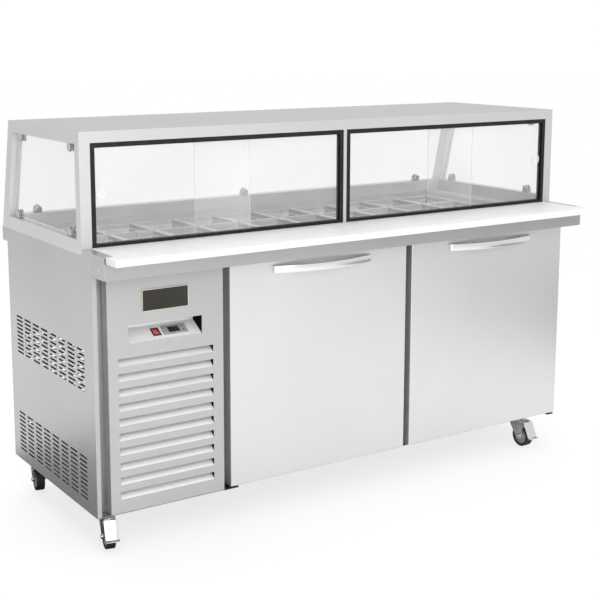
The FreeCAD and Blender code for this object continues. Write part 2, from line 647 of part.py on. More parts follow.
def food_pan():
    """One pan with its rim, centred on the axis."""
    rim_x = PAN_PITCH_X / 2 - GAP
    rim_y = PAN_PITCH_Y / 2 - GAP
    half_x = rim_x - PAN_FLANGE
    half_y = rim_y - PAN_FLANGE
    rim_top = RIM_SEAT + RIM_THICK
    rim = slab("z", RIM_SEAT, rim_top, rectangle(-rim_x, rim_x, -rim_y, rim_y, 6.0))
    body = tapered(half_x, half_y, PAN_CORNER, rim_top - PAN_DEPTH, rim_top, PAN_TAPER)
    hollow = tapered(half_x - PAN_WALL, half_y - PAN_WALL, PAN_CORNER - PAN_WALL,
                     rim_top - PAN_DEPTH + PAN_WALL, rim_top, PAN_TAPER)
    return union([rim, body]).cut(hollow)


def pans():
    """Three rows of pans."""
    pan = food_pan()
    for row, name in enumerate(("front", "middle", "rear")):
        y = WELL_FRONT + (row + 0.5) * PAN_PITCH_Y
        line = [moved(pan, x=-WELL_HALF_X + (n + 0.5) * PAN_PITCH_X, y=y) for n in range(PAN_COLUMNS)]
        keep("pans_%s_row" % name, *line)


# ---- glass guard --------------------------------------------------------------------
def lean_y(z, top_y):
    """Y of a leaning line at a height, from its Y at the roof."""
    return top_y + LEAN * (ROOF_UNDER - z)


def leaning(z_low, z_high, y_front, y_rear):
    """Outline between two leaning lines, given by their Y at the roof."""
    return [(lean_y(z_low, y_front), z_low), (lean_y(z_low, y_rear), z_low),
            (lean_y(z_high, y_rear), z_high), (lean_y(z_high, y_front), z_high)]


def guard_frame():
    """Side frames, rear rails, middle post and front sills, all thin-walled tube."""
    inner_rear = GUARD_TOP_REAR - REAR_POST
    x_low = LEFT
    x_high = LEFT + POST_X
    t = SHEET
    post_back = GUARD_FRONT + POST_Y
    far = 20.0
    post = box(x_low, x_high, GUARD_FRONT, post_back, WORKTOP, ROOF_UNDER)
    post = post.cut(box(x_low + t, x_high - t, GUARD_FRONT + t, post_back - t, WORKTOP, ROOF_UNDER))
    rear = slab("x", x_low, x_high, leaning(WORKTOP, ROOF_UNDER, inner_rear, GUARD_TOP_REAR))
    rear = rear.cut(slab("x", x_low + t, x_high - t,
                         leaning(WORKTOP - far, ROOF_UNDER + far, inner_rear + t, GUARD_TOP_REAR - t)))
    frame = [post, rear]
    for z_low, z_high in ((WORKTOP, RAIL_TOP), (WINDOW_TOP, ROOF_UNDER)):
        outline = [(post_back, z_low), (lean_y(z_low, inner_rear), z_low),
                   (lean_y(z_high, inner_rear), z_high), (post_back, z_high)]
        rail = slab("x", x_low, x_high, outline)
        hollow = box(x_low + t, x_high - t, post_back, TOP_REAR, z_low + t, z_high - t)
        frame.append(rail.cut(hollow))
    frame += [mirrored(piece) for piece in frame]
    for z_low, z_high in ((WORKTOP, RAIL_TOP + 1), (WINDOW_TOP, ROOF_UNDER)):
        rail = slab("x", LEFT + POST_X, RIGHT - POST_X,
                    leaning(z_low, z_high, inner_rear, GUARD_TOP_REAR))
        hollow = slab("x", LEFT + POST_X, RIGHT - POST_X,
                      leaning(z_low + t, z_high - t, inner_rear + t, GUARD_TOP_REAR - t))
        frame.append(rail.cut(hollow))
    track_back = GUARD_FRONT + TRACK_DEPTH
    mid = box(-MID_POST_HALF, MID_POST_HALF, GUARD_FRONT, track_back, WORKTOP, TRACK_TOP)
    frame.append(mid.cut(box(t - MID_POST_HALF, MID_POST_HALF - t, GUARD_FRONT + t, track_back - t,
                             WORKTOP, TRACK_TOP)))
    sill = box(LEFT + POST_X, -MID_POST_HALF, GUARD_FRONT, track_back, WORKTOP, TRACK_BOTTOM)
    sill = sill.cut(box(LEFT + POST_X, -MID_POST_HALF, GUARD_FRONT + t, track_back - t,
                        WORKTOP + t, TRACK_BOTTOM - t))
    frame += [sill, mirrored(sill)]
    keep("guard_frame", *frame)
    roof = box(LEFT, RIGHT, GUARD_FRONT, GUARD_TOP_REAR, ROOF_UNDER, HEIGHT)
    fascia = box(LEFT + POST_X, RIGHT - POST_X, GUARD_FRONT, GUARD_FRONT + SHEET, TRACK_TOP, HEIGHT)
    keep("guard_roof", union([roof, fascia]))


def glass_tracks():
    """Black two-groove extrusions round both front openings."""
    tracks = []
    front = GUARD_FRONT
    back = GUARD_FRONT + TRACK_DEPTH
    x_low = LEFT + POST_X
    x_high = -MID_POST_HALF
    low = TRACK_BOTTOM + TRACK_FACE
    high = TRACK_TOP - TRACK_FACE
    lengths = [box(x_low, x_high, front, back, TRACK_BOTTOM, low),
               box(x_low, x_high, front, back, high, TRACK_TOP),
               box(x_low, x_low + TRACK_FACE, front, back, low, high),
               box(x_high - TRACK_FACE, x_high, front, back, low, high)]
    grooves = []
    for offset in GROOVE_OFFSETS:
        y_low = front + offset
        grooves.append(box(x_low + TRACK_FACE - GROOVE_DEPTH, x_high - TRACK_FACE + GROOVE_DEPTH,
                           y_low, y_low + GROOVE_WIDTH, low - GROOVE_DEPTH, high + GROOVE_DEPTH))
    for length in lengths:
        piece = length.cut(grooves[0]).cut(grooves[1])
        tracks += [piece, mirrored(piece)]
    keep("glass_tracks", *tracks)


def sliding_panes():
    """Two panes in each front opening; the outer ones have a round finger pull."""
    low = TRACK_BOTTOM + TRACK_FACE - GROOVE_DEPTH + GAP
    high = TRACK_TOP - TRACK_FACE + GROOVE_DEPTH - 3.0
    run = TRACK_FACE - GROOVE_DEPTH + GAP
    far = RIGHT - POST_X - run
    near = MID_POST_HALF + run
    outer = PANE_LENGTHS["outer"]
    inner = PANE_LENGTHS["inner"]
    spans = ((-far, outer - far), (-near - inner, -near), (near, near + inner), (far - outer, far))
    pulls = {1: PULL_INSET - far, 4: far - PULL_INSET}
    for number, (x_low, x_high) in enumerate(spans, 1):
        y = GUARD_FRONT + GROOVE_OFFSETS[(number + 1) % 2] + (GROOVE_WIDTH - SLIDING_GLASS) / 2
        solids = [box(x_low, x_high, y, y + SLIDING_GLASS, low, high)]
        if number in pulls:
            solids.append(rod((pulls[number], y - PULL_THICK, PULL_HEIGHT), Y_AXIS, PULL_RADIUS, PULL_THICK))
        keep("glass_pane_%d" % number, *solids)


def clamp():
    """Rounded clamp that grips a glass edge: flat foot down, slot across Y."""
    half = CLAMP_WIDTH / 2
    straight = CLAMP_REACH - half
    block = box(-half, half, -CLAMP_THICK / 2, CLAMP_THICK / 2, 0, straight)
    nose = rod((0, -CLAMP_THICK / 2, straight), Y_AXIS, half, CLAMP_THICK)
    slot_half = GLASS / 2 + 0.3
    slot = box(-half, half, -slot_half, slot_half, GLASS_MARGIN - 0.3, CLAMP_REACH)
    return union([block, nose]).cut(slot)


def fixed_glass():
    """Side panes and leaning rear pane, with the clamps that hold them."""
    centre_x = LEFT + POST_X / 2
    inner_rear = GUARD_TOP_REAR - REAR_POST
    low = RAIL_TOP + GLASS_MARGIN
    high = WINDOW_TOP - GLASS_MARGIN
    front = GUARD_FRONT + POST_Y + GLASS_MARGIN
    outline = [(front, low), (lean_y(low, inner_rear) - GLASS_MARGIN, low),
               (lean_y(high, inner_rear) - GLASS_MARGIN, high), (front, high)]
    side = slab("x", centre_x - GLASS / 2, centre_x + GLASS / 2, outline)
    middle = GUARD_TOP_REAR - REAR_POST / 2
    rear_low = RAIL_TOP + 1 + GLASS_MARGIN
    rear_edge = LEFT + POST_X + 3.0
    rear = slab("x", rear_edge, -rear_edge,
                leaning(rear_low, high, middle - GLASS / 2, middle + GLASS / 2))
    keep("guard_glass", side, mirrored(side), rear)

    clamps = []
    grip = clamp()
    upright = turned(grip, (0, 0, 0), Z_AXIS, 90)
    hanging = turned(upright, (0, 0, 0), X_AXIS, 180)
    for y in SIDE_CLAMPS:
        clamps.append(moved(upright, centre_x, y, RAIL_TOP))
    for y in SIDE_TOP_CLAMPS:
        clamps.append(moved(hanging, centre_x, y, WINDOW_TOP))
    clamps += [mirrored(piece) for piece in clamps]
    lean = math.degrees(math.atan(LEAN))
    foot = turned(grip, (0, 0, 0), X_AXIS, lean)
    head = turned(turned(grip, (0, 0, 0), X_AXIS, 180), (0, 0, 0), X_AXIS, lean)
    sunk = 2.4
    for x in REAR_CLAMPS:
        clamps.append(clipped(moved(foot, x, lean_y(RAIL_TOP + 1 - sunk, middle), RAIL_TOP + 1 - sunk),
                              RAIL_TOP + 1, HEIGHT))
        clamps.append(clipped(moved(head, x, lean_y(WINDOW_TOP + sunk, middle), WINDOW_TOP + sunk),
                              WORKTOP, WINDOW_TOP))
    keep("glass_clamps", *clamps)


def clipped(shape, z_low, z_high):
    """The part of a shape between two heights."""
    return shape.common(box(LEFT, RIGHT, BOARD_FRONT, TOP_REAR, z_low, z_high))


# ---- casters ------------------------------------------------------------------------
def cheek():
    """One side of the fork, from the crown down to the axle."""
    axle = -CASTER_TRAIL
    outline = [(FORK_REAR, FORK_TOP), (FORK_FRONT, FORK_TOP, 3.0), (FORK_FRONT, 78, 6.0), (axle - 13, 62),
               (axle - 11, 26, 9.0), (axle + 11, 26, 9.0), (FORK_REAR, 74, 8.0)]
    return slab("x", FORK_INNER, FORK_INNER + FORK_SHEET, outline)


def fork():
    """Stamped fork on the swivel axis, with the axle bolt as a second solid."""
    cheeks = [cheek(), mirrored(cheek())]
    half = FORK_INNER + FORK_SHEET
    crown = box(-half, half, FORK_FRONT + 4, FORK_REAR, FORK_TOP - 3, FORK_TOP)
    ring = rod((0, 0, FORK_TOP - 3), Z_AXIS, 24.0, 3.0)
    body = union(cheeks + [crown, ring])
    body = body.cut(rod((0, 0, FORK_TOP - 10), Z_AXIS, 5.2, 20.0))
    far = 30.0
    body = body.cut(rod((-far, -CASTER_TRAIL, WHEEL_RADIUS), X_AXIS, AXLE_RADIUS + PIN_CLEARANCE, 2 * far))
    body = body.cut(rod((-far, PEDAL_PIVOT[0], PEDAL_PIVOT[1]), X_AXIS, PEDAL_PIN + PIN_CLEARANCE, 2 * far))
    shaft = rod((-half, -CASTER_TRAIL, WHEEL_RADIUS), X_AXIS, AXLE_RADIUS, 2 * half)
    heads = [rod((x, -CASTER_TRAIL, WHEEL_RADIUS), X_AXIS, 7.0, 3.5) for x in (-half - 3.5, half)]
    return body, union([shaft] + heads)


def wheel():
    """Tyred wheel with a crowned tread, dished sides and a hub bore."""
    r = WHEEL_RADIUS
    h = WHEEL_HALF
    bore = AXLE_RADIUS + PIN_CLEARANCE
    outline = [(bore, -h - 1), (12, -h - 1), (13, -h + 2), (25, -h + 2), (26, -h), (r - 4, -h, 3.0),
               (r, -h + 4, 6.0), (r, h - 4, 6.0), (r - 4, h, 3.0), (26, h), (25, h - 2), (13, h - 2),
               (12, h + 1), (bore, h + 1)]
    half_section = Part.Face(loop("z", outline, 0.0))
    solid = half_section.revolve(V(0, 0, 0), Y_AXIS, 360)
    solid.rotate(V(0, 0, 0), Z_AXIS, 90)
    solid.translate(V(0, -CASTER_TRAIL, WHEEL_RADIUS))
    return solid


def pedal():
    """Brake pedal: a plate in front of the wheel with a foot lip and two ears on a pin."""
    y, z = PEDAL_PIVOT
    half = PEDAL_HALF
    plate = slab("x", -half, half, [(y - 12.5, z + 9), (y - 37.5, z - 43), (y - 49, z - 46, 1.0),
                                    (y - 49, z - 43.6, 1.0), (y - 38.9, z - 41), (y - 14.7, z + 9)])
    ear = slab("x", half - 2.0, half, [(y + 6, z + 6, 5.0), (y - 14.5, z + 6), (y - 21.8, z - 9),
                                       (y + 6, z - 6, 5.0)])
    pin = rod((-half, y, z), X_AXIS, PEDAL_PIN, 2 * half)
    return union([plate, pin, ear, mirrored(ear)])


def mounting():
    """Top plate with its bolt holes, swivel race, king bolt and nut."""
    holes = [rectangle(x - 4, x + 4, y - 4, y + 4, 3.9) for x in (-28, 28) for y in (-22, 22)]
    under = CASTER_HEIGHT - 3
    top = slab("z", under, CASTER_HEIGHT, rectangle(-37, 37, -30, 30, 6.0), holes)
    race_low = FORK_TOP + 0.4
    race = rod((0, 0, race_low), Z_AXIS, 22.0, under - race_low)
    king = rod((0, 0, FORK_TOP - 9), Z_AXIS, 5.0, 16.0)
    nut = rod((0, 0, FORK_TOP - 9), Z_AXIS, 8.0, 5.5)
    return union([top, race, king, nut])


def casters():
    """Four swivel casters; the two front ones have a brake pedal."""
    body, axle = fork()
    plates = []
    for key, yaw in CASTER_YAW.items():
        x = CASTER_X["lr".index(key[1])]
        y = CASTER_Y["fr".index(key[0])]
        pieces = {"caster_fork": [body, axle], "caster_wheel": [wheel()]}
        if key[0] == "f":
            pieces["brake_pedal"] = [pedal()]
        for name, shapes in pieces.items():
            keep("%s_%s" % (name, key),
                 *(moved(turned(shape, (0, 0, 0), Z_AXIS, yaw), x, y) for shape in shapes))
        plates.append(moved(mounting(), x, y))
    keep("caster_plates", *plates)


# ---- refrigeration ------------------------------------------------------------------
def pipe(points, radius):
    """Rigid tube along straight runs, with a ball at each bend."""
    pieces = []
    for start, end in zip(points, points[1:]):
        run = V(*end) - V(*start)
        pieces.append(Part.makeCylinder(radius, run.Length, V(*start), run))
    pieces += [Part.makeSphere(radius, V(*point)) for point in points[1:-1]]
    return union(pieces)


def fan(x, y, z, radius, blades, depth):
    """Axial fan on a hub, turning about Y."""
    hub_radius = radius * 0.28
    pieces = [rod((x, y, z), Y_AXIS, hub_radius, depth)]
    chord = radius * 0.62
    for n in range(blades):
        blade = box(-chord / 2, chord / 2, depth / 2 - 1, depth / 2 + 1, hub_radius - 3, radius)
        blade = turned(blade, (0, depth / 2, 0), Z_AXIS, math.degrees(math.asin(0.5 * depth / chord)))
        blade = turned(blade, (0, 0, 0), Y_AXIS, n * 360.0 / blades)
        pieces.append(moved(blade, x, y, z))
    return union(pieces)


def machinery():
    """Condensing unit in the bay and the blown coil in the cold cabinet."""
    half = 165.0
    low = 122.0
    high = FAN_Z + 158.0
    coil_back = CONDENSER_FRONT + CONDENSER_DEPTH
    coil = box(FAN_X - half, FAN_X + half, CONDENSER_FRONT, coil_back, low, high)
    feet = [box(x, x + 24, CONDENSER_FRONT, coil_back, TRAY_TOP, low)
            for x in (FAN_X - half, FAN_X + half - 24)]
    shroud = box(FAN_X - half, FAN_X + half, coil_back, coil_back + SHROUD_DEPTH + 6, low, high)
    shroud = shroud.cut(rod((FAN_X, coil_back, FAN_Z), Y_AXIS, FAN_RADIUS + 8, SHROUD_DEPTH + 6))
    fan_y = coil_back + 4.0
    motor_y = fan_y + SHROUD_DEPTH + 2.0
    motor = rod((FAN_X, motor_y, FAN_Z), Y_AXIS, 34.0, 52.0)
    post = box(FAN_X - 12, FAN_X + 12, motor_y + 12, motor_y + 40, TRAY_TOP, FAN_Z - 20)
    keep("condenser", union([coil] + feet), shroud, union([motor, post]))
    keep("condenser_fan", fan(FAN_X, fan_y, FAN_Z, FAN_RADIUS, 5, SHROUD_DEPTH))

    can_x = FAN_X + 30.0
    can_y = 200.0
    can_low = TRAY_TOP + 12.0
    can = rod((can_x, can_y, can_low), Z_AXIS, 82.0, 120.0)
    dome = Part.makeSphere(82.0, V(can_x, can_y, can_low + 120.0))
    feet = [rod((can_x + sx * 88, can_y + sy * 60, TRAY_TOP), Z_AXIS, 12.0, 12.0)
            for sx in (-1, 1) for sy in (-1, 1)]
    plate = box(can_x - 106, can_x + 106, can_y - 74, can_y + 74, can_low - 0.5, can_low + 3)
    shell = union([can, dome, plate] + feet)
    line_z = can_low + 150.0
    suction = pipe([(can_x - 60, can_y, line_z - 10), (can_x - 130, can_y, line_z - 10),
                    (can_x - 130, can_y, 640.0), (PARTITION - SHEET, can_y, 640.0)], 6.0)
    keep("compressor", union([shell, suction]))

    fan_x, fan_z = EVAPORATOR_FAN
    coil_front = CAVITY_REAR - SHEET - 36.0
    evaporator = box(fan_x - 230, fan_x + 230, coil_front, CAVITY_REAR - SHEET, fan_z - 80, fan_z + 80)
    cover = box(fan_x - 230, fan_x + 230, coil_front - 18, coil_front, fan_z - 80, fan_z + 80)
    cover = cover.cut(rod((fan_x, coil_front - 18, fan_z), Y_AXIS, EVAPORATOR_RADIUS + 4, 18))
    keep("evaporator", evaporator, cover)
    keep("evaporator_fan", fan(fan_x, coil_front - 15, fan_z, EVAPORATOR_RADIUS, 5, 12.0))


def build():
    """Builds every node."""
    side_panels()
    back_and_base()
    bay_panels()
    cold_cabinet()
    grille()
    controls()
    door("left")
    door("right")
    hinge_brackets()
    worktop()
    board_shelf()
    cutting_board()
    pan_well()
    pans()
    guard_frame()
    glass_tracks()
    sliding_panes()
    fixed_glass()
    casters()
    machinery()


build()
os.makedirs("parts", exist_ok=True)
for node_name, node_shape in NODES.items():
    node_shape.exportStep("parts/%s.step" % node_name)
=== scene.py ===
"""Dresses the packed sandwich prep table: finishes for every part, and the pieces that need more shape.

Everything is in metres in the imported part's own frame, and every place is read from that frame.
"""

import json
import logging
import math
from collections.abc import Callable, Iterable
from dataclasses import dataclass
from enum import Enum

import bpy
from mathutils import Matrix, Vector


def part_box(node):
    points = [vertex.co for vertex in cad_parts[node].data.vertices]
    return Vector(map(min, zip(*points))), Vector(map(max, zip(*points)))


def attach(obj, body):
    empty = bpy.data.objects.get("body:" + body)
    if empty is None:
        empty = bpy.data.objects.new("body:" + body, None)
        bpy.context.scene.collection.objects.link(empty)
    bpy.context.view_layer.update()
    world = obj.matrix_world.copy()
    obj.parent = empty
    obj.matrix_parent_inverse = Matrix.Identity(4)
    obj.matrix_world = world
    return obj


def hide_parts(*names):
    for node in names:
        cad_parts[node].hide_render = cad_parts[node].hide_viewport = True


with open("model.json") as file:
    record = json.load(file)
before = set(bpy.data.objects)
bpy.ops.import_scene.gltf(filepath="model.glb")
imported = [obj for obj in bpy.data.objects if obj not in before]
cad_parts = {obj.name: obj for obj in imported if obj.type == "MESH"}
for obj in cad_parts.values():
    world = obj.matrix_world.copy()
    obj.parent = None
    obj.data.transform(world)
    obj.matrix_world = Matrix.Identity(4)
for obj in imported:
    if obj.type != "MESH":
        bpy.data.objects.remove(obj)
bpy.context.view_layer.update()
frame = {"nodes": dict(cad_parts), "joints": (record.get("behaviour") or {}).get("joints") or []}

LOG = logging.getLogger("prep_table")
MM = 0.001
BODY = "body"


# ---- finishes -----------------------------------------------------------------------
def srgb(code: str, alpha: float = 1.0) -> tuple[float, float, float, float]:
    """Turns an sRGB hex colour into the linear one the shaders take.

    Args:
        code: Six hex digits, with no hash sign.
        alpha: Opacity.

    Returns:
        Linear red, green, blue and alpha.
    """
    channels = [int(code[i:i + 2], 16) / 255 for i in (0, 2, 4)]
    linear = [c / 12.92 if c <= 0.04045 else ((c + 0.055) / 1.055) ** 2.4 for c in channels]
    return (*linear, alpha)


def per_metre(millimetres: float) -> float:
    """Texture scale whose features are about this many millimetres apart."""
    return 1.0 / (millimetres * MM)


def add_node(tree: bpy.types.NodeTree, kind: str, settings: dict | None = None,
             inputs: dict | None = None) -> bpy.types.Node:
    """Adds a shader node with its settings, constants and links.

    Args:
        tree: The node tree it goes in.
        kind: The node's type name.
        settings: Attributes to set on the node.
        inputs: Socket name or number to a constant, or to (node, output name) for a link.

    Returns:
        The new node.
    """
    new = tree.nodes.new(kind)
    for name, value in (settings or {}).items():
        setattr(new, name, value)
    for name, value in (inputs or {}).items():
        if isinstance(value, tuple) and isinstance(value[0], bpy.types.Node):
            tree.links.new(value[0].outputs[value[1]], new.inputs[name])
        else:
            new.inputs[name].default_value = value
    return new


def ramp(tree: bpy.types.NodeTree, source: tuple, stops: Iterable[tuple[float, str]]) -> bpy.types.Node:
    """Adds a colour ramp fed by another node.

    Args:
        tree: The node tree it goes in.
        source: (node, output name) that drives it.
        stops: (position, hex colour) pairs, first to last.

    Returns:
        The ramp node.
    """
    new = add_node(tree, "ShaderNodeValToRGB", inputs={"Fac": source})
    band = new.color_ramp
    for index, (position, code) in enumerate(stops):
        stop = band.elements[index] if index < 2 else band.elements.new(position)
        stop.position = position
        stop.color = srgb(code)
    return new


def spread(tree: bpy.types.NodeTree, source: tuple, low: float, high: float) -> bpy.types.Node:
    """Maps a 0 to 1 texture value on to a range, such as a roughness band."""
    return add_node(tree, "ShaderNodeMapRange", inputs={"Value": source, "To Min": low, "To Max": high})


class Grain(Enum):
    """Direction that a sheet's brushing or drawing marks run in."""

    ACROSS = "x"
    DEEP = "y"
    UPRIGHT = "z"


@dataclass(frozen=True)
class Finish:
    """A finish with a name and a way to make its material."""

    name: str

    def material(self) -> bpy.types.Material:
        """Returns the finish's material, made on first use."""
        made = bpy.data.materials.get(self.name)
        if made is None:
            made = bpy.data.materials.new(self.name)
            made.use_nodes = True
            self.fill(made.node_tree, made.node_tree.nodes["Principled BSDF"])
        return made

    def fill(self, tree: bpy.types.NodeTree, shader: bpy.types.Node) -> None:
        """Adds the finish's own nodes. Each kind of finish has its own.

        Args:
            tree: The material's node tree.
            shader: Its Principled shader.
        """
        raise NotImplementedError

    def stretched(self, tree: bpy.types.NodeTree, grain: Grain, along: float, across: float,
                  detail: float) -> bpy.types.Node:
        """Noise drawn out along the grain.

        Args:
            tree: The node tree it goes in.
            grain: Direction of the marks.
            along: Length of a mark in millimetres.
            across: Width of a mark in millimetres.
            detail: Noise detail.

        Returns:
            The noise node.
        """
        place = add_node(tree, "ShaderNodeTexCoord")
        scale = [per_metre(along) if axis == grain.value else per_metre(across) for axis in "xyz"]
        mapping = add_node(tree, "ShaderNodeMapping", inputs={"Vector": (place, "Object"), "Scale": scale})
        return add_node(tree, "ShaderNodeTexNoise", inputs={
            "Vector": (mapping, "Vector"), "Scale": 1.0, "Detail": detail, "Roughness": 0.6})

    def cloud(self, tree: bpy.types.NodeTree, size: float, detail: float = 3.0) -> bpy.types.Node:
        """Soft even noise with features this many millimetres across."""
        place = add_node(tree, "ShaderNodeTexCoord")
        return add_node(tree, "ShaderNodeTexNoise", inputs={
            "Vector": (place, "Object"), "Scale": per_metre(size), "Detail": detail})

    def relief(self, tree: bpy.types.NodeTree, shader: bpy.types.Node, source: tuple, depth: float,
               strength: float) -> None:
        """Wires a bump of a given depth in millimetres into the shader."""
        bump = add_node(tree, "ShaderNodeBump", inputs={
            "Height": source, "Distance": depth * MM, "Strength": strength})
        tree.links.new(bump.outputs["Normal"], shader.inputs["Normal"])


@dataclass(frozen=True)
class BrushedStainless(Finish):
    """Type 304 sheet, belt-brushed to a number 4 finish: long fine lines, soft streaked gloss."""

    light: str
    dark: str
    grain: Grain
    rough_low: float = 0.30
    rough_high: float = 0.42
    line_mm: float = 1.2     # real lines are about 0.05 mm apart: drawn coarser so that they show
    metallic: float = 0.72   # the scratched surface scatters part of the light

    def fill(self, tree: bpy.types.NodeTree, shader: bpy.types.Node) -> None:
        """Streaks in tone and gloss along the grain, over faint handling marks."""
        lines = self.stretched(tree, self.grain, 260.0, self.line_mm, 4.0)
        patches = self.cloud(tree, 420.0)
        blend = add_node(tree, "ShaderNodeMath", {"operation": "MULTIPLY_ADD"}, {
            0: (patches, "Fac"), 1: 0.5, 2: 0.0})
        total = add_node(tree, "ShaderNodeMath", {"operation": "MULTIPLY_ADD"}, {
            0: (lines, "Fac"), 1: 0.5, 2: (blend, "Value")})
        tone = ramp(tree, (total, "Value"), ((0.3, self.dark), (0.7, self.light)))
        gloss = spread(tree, (lines, "Fac"), self.rough_low, self.rough_high)
        tree.links.new(tone.outputs["Color"], shader.inputs["Base Color"])
        tree.links.new(gloss.outputs["Result"], shader.inputs["Roughness"])
        shader.inputs["Metallic"].default_value = self.metallic
        self.relief(tree, shader, (lines, "Fac"), 0.01, 0.08)


@dataclass(frozen=True)
class DrawnStainless(Finish):
    """Deep-drawn stainless with a bright finish: smooth, softly wavy, with faint draw marks."""

    light: str
    dark: str

    def fill(self, tree: bpy.types.NodeTree, shader: bpy.types.Node) -> None:
        """Low waves from drawing, and upright draw marks in the gloss."""
        waves = self.cloud(tree, 45.0, 1.0)
        marks = self.stretched(tree, Grain.UPRIGHT, 60.0, 5.0, 1.0)
        tone = ramp(tree, (waves, "Fac"), ((0.35, self.dark), (0.65, self.light)))
        gloss = spread(tree, (marks, "Fac"), 0.26, 0.31)
        tree.links.new(tone.outputs["Color"], shader.inputs["Base Color"])
        tree.links.new(gloss.outputs["Result"], shader.inputs["Roughness"])
        shader.inputs["Metallic"].default_value = 0.45
        self.relief(tree, shader, (waves, "Fac"), 0.15, 0.12)


@dataclass(frozen=True)
class ZincSheet(Finish):
    """Hot-dip galvanised or zinc-plated steel: crystal spangle in slightly different greys."""

    light: str
    dark: str
    spangle_mm: float
    rough_low: float
    rough_high: float

    def fill(self, tree: bpy.types.NodeTree, shader: bpy.types.Node) -> None:
        """Each crystal has its own grey and gloss."""
        place = add_node(tree, "ShaderNodeTexCoord")
        crystals = add_node(tree, "ShaderNodeTexVoronoi", inputs={
            "Vector": (place, "Object"), "Scale": per_metre(self.spangle_mm)})
        split = add_node(tree, "ShaderNodeSeparateColor", inputs={"Color": (crystals, "Color")})
        tone = ramp(tree, (split, "Red"), ((0.1, self.dark), (0.9, self.light)))
        gloss = spread(tree, (split, "Green"), self.rough_low, self.rough_high)
        tree.links.new(tone.outputs["Color"], shader.inputs["Base Color"])
        tree.links.new(gloss.outputs["Result"], shader.inputs["Roughness"])
        shader.inputs["Metallic"].default_value = 1.0
        grit = self.cloud(tree, 3.0)
        self.relief(tree, shader, (grit, "Fac"), 0.03, 0.15)


@dataclass(frozen=True)
class Coated(Finish):
    """Paint, moulded plastic or rubber: an even colour with fine grain and worn gloss."""

    light: str
    dark: str
    grain_mm: float
    rough_low: float
    rough_high: float
    bump_mm: float = 0.02
    metallic: float = 0.0
    coat: float = 0.0
    ior: float = 1.5

    def fill(self, tree: bpy.types.NodeTree, shader: bpy.types.Node) -> None:
        """Fine grain in the relief, with wide soft variation of tone and gloss."""
        grain = self.cloud(tree, self.grain_mm)
        wear = self.cloud(tree, self.grain_mm * 40)
        tone = ramp(tree, (wear, "Fac"), ((0.3, self.dark), (0.7, self.light)))
        gloss = spread(tree, (wear, "Fac"), self.rough_low, self.rough_high)
        tree.links.new(tone.outputs["Color"], shader.inputs["Base Color"])
        tree.links.new(gloss.outputs["Result"], shader.inputs["Roughness"])
        shader.inputs["Metallic"].default_value = self.metallic
        shader.inputs["Coat Weight"].default_value = self.coat
        if not self.metallic:
            shader.inputs["IOR"].default_value = self.ior
        self.relief(tree, shader, (grain, "Fac"), self.bump_mm, 0.3)


@dataclass(frozen=True)
class ClearGlass(Finish):
    """Tempered float glass: almost clear, with a faint film of wiping marks."""

    tint: str
    alpha_low: float
    alpha_high: float
    rough: float = 0.04

    def fill(self, tree: bpy.types.NodeTree, shader: bpy.types.Node) -> None:
        """A see-through sheet whose film is a little thicker in wide soft patches."""
        film = self.cloud(tree, 260.0)
        veil = spread(tree, (film, "Fac"), self.alpha_low, self.alpha_high)
        tone = ramp(tree, (film, "Fac"), ((0.2, self.tint), (0.9, "FFFFFF")))
        tree.links.new(tone.outputs["Color"], shader.inputs["Base Color"])
        tree.links.new(veil.outputs["Result"], shader.inputs["Alpha"])
        shader.inputs["Roughness"].default_value = self.rough
        shader.inputs["IOR"].default_value = 1.52


# The doors' brushed sheet is the brightest steel: an even pale grey with level lines.
DOOR_STEEL = BrushedStainless("door_steel_brushed_304", "DADADA", "D2D2D2", Grain.ACROSS)
# The side and back sheets are painted a shade greyer than the doors as painted shade, and are brushed from
# front to back.
SIDE_STEEL_SHADED = BrushedStainless("side_steel_painted_shade", "BABABA", "B0B0B0", Grain.DEEP, 0.34, 0.46)
# The grille is brushed level and painted a shade darker than the doors as painted shade.
GRILLE_STEEL_SHADED = BrushedStainless("grille_steel_painted_shade", "B6B6B6", "AEAEAE", Grain.ACROSS,
                                0.30, 0.42, 1.2, 0.4)
# The louvre blades are painted near white and barely metallic: a painted highlight for the light from above
# on the blades.
LOUVRE_STEEL_LIT = BrushedStainless("louvre_painted_highlight", "F4F4F4", "ECECEC", Grain.ACROSS,
                                0.40, 0.50, 1.2, 0.15)
# The sloping control desk is the same sheet, painted near white and barely metallic: a painted highlight
# where it turns up to the light.
DESK_STEEL_LIT = BrushedStainless("desk_steel_painted_highlight", "FAFAFA", "F2F2F2", Grain.ACROSS,
                              0.40, 0.50, 1.2, 0.1)
# Worktop and well: brushed along their length, glossier from wiping.
TOP_STEEL = BrushedStainless("top_steel_brushed_304", "E0E0E0", "D6D6D6", Grain.ACROSS, 0.26, 0.38, 1.2, 0.55)
# The apron under the board is painted a shade darker than the doors: the painted shadow of the board's
# overhang.
APRON_STEEL_SHADED = BrushedStainless("apron_steel_painted_shadow", "AFAFAF", "A8A8A8", Grain.ACROSS)
# Guard tubes: brushed along their length.
GUARD_STEEL = BrushedStainless("guard_steel_brushed_304", "CECECE", "C6C6C6", Grain.ACROSS,
                               0.30, 0.42, 1.2, 0.6)
# The rear rails' inner faces: the same sheet painted near white, a painted light standing in for the glow
# from the bright pans below.
RAIL_STEEL_LIT = BrushedStainless("rail_steel_painted_light", "F0F0F0", "E6E6E6", Grain.ACROSS,
                              0.34, 0.46, 1.2, 0.3)
# The guard's roof is a plain sheet painted greyer: a painted reflection of the far side of the room.
ROOF_STEEL_SHADED = BrushedStainless("roof_steel_painted_reflection", "B2B2B2", "AAAAAA", Grain.ACROSS, 0.32, 0.44)
# Handles are polished finer, so their curve shows as one soft highlight.
HANDLE_STEEL = BrushedStainless("handle_steel_polished_304", "E6E6E6", "DCDCDC", Grain.ACROSS,
                                0.18, 0.26, 0.8, 0.8)
# Pans are drawn stainless painted near white as painted light for the shaded well, with soft reflections that
# bend round the corners.
PAN_STEEL_LIT = DrawnStainless("pan_steel_painted_light", "F2F2F2", "E6E6E6")
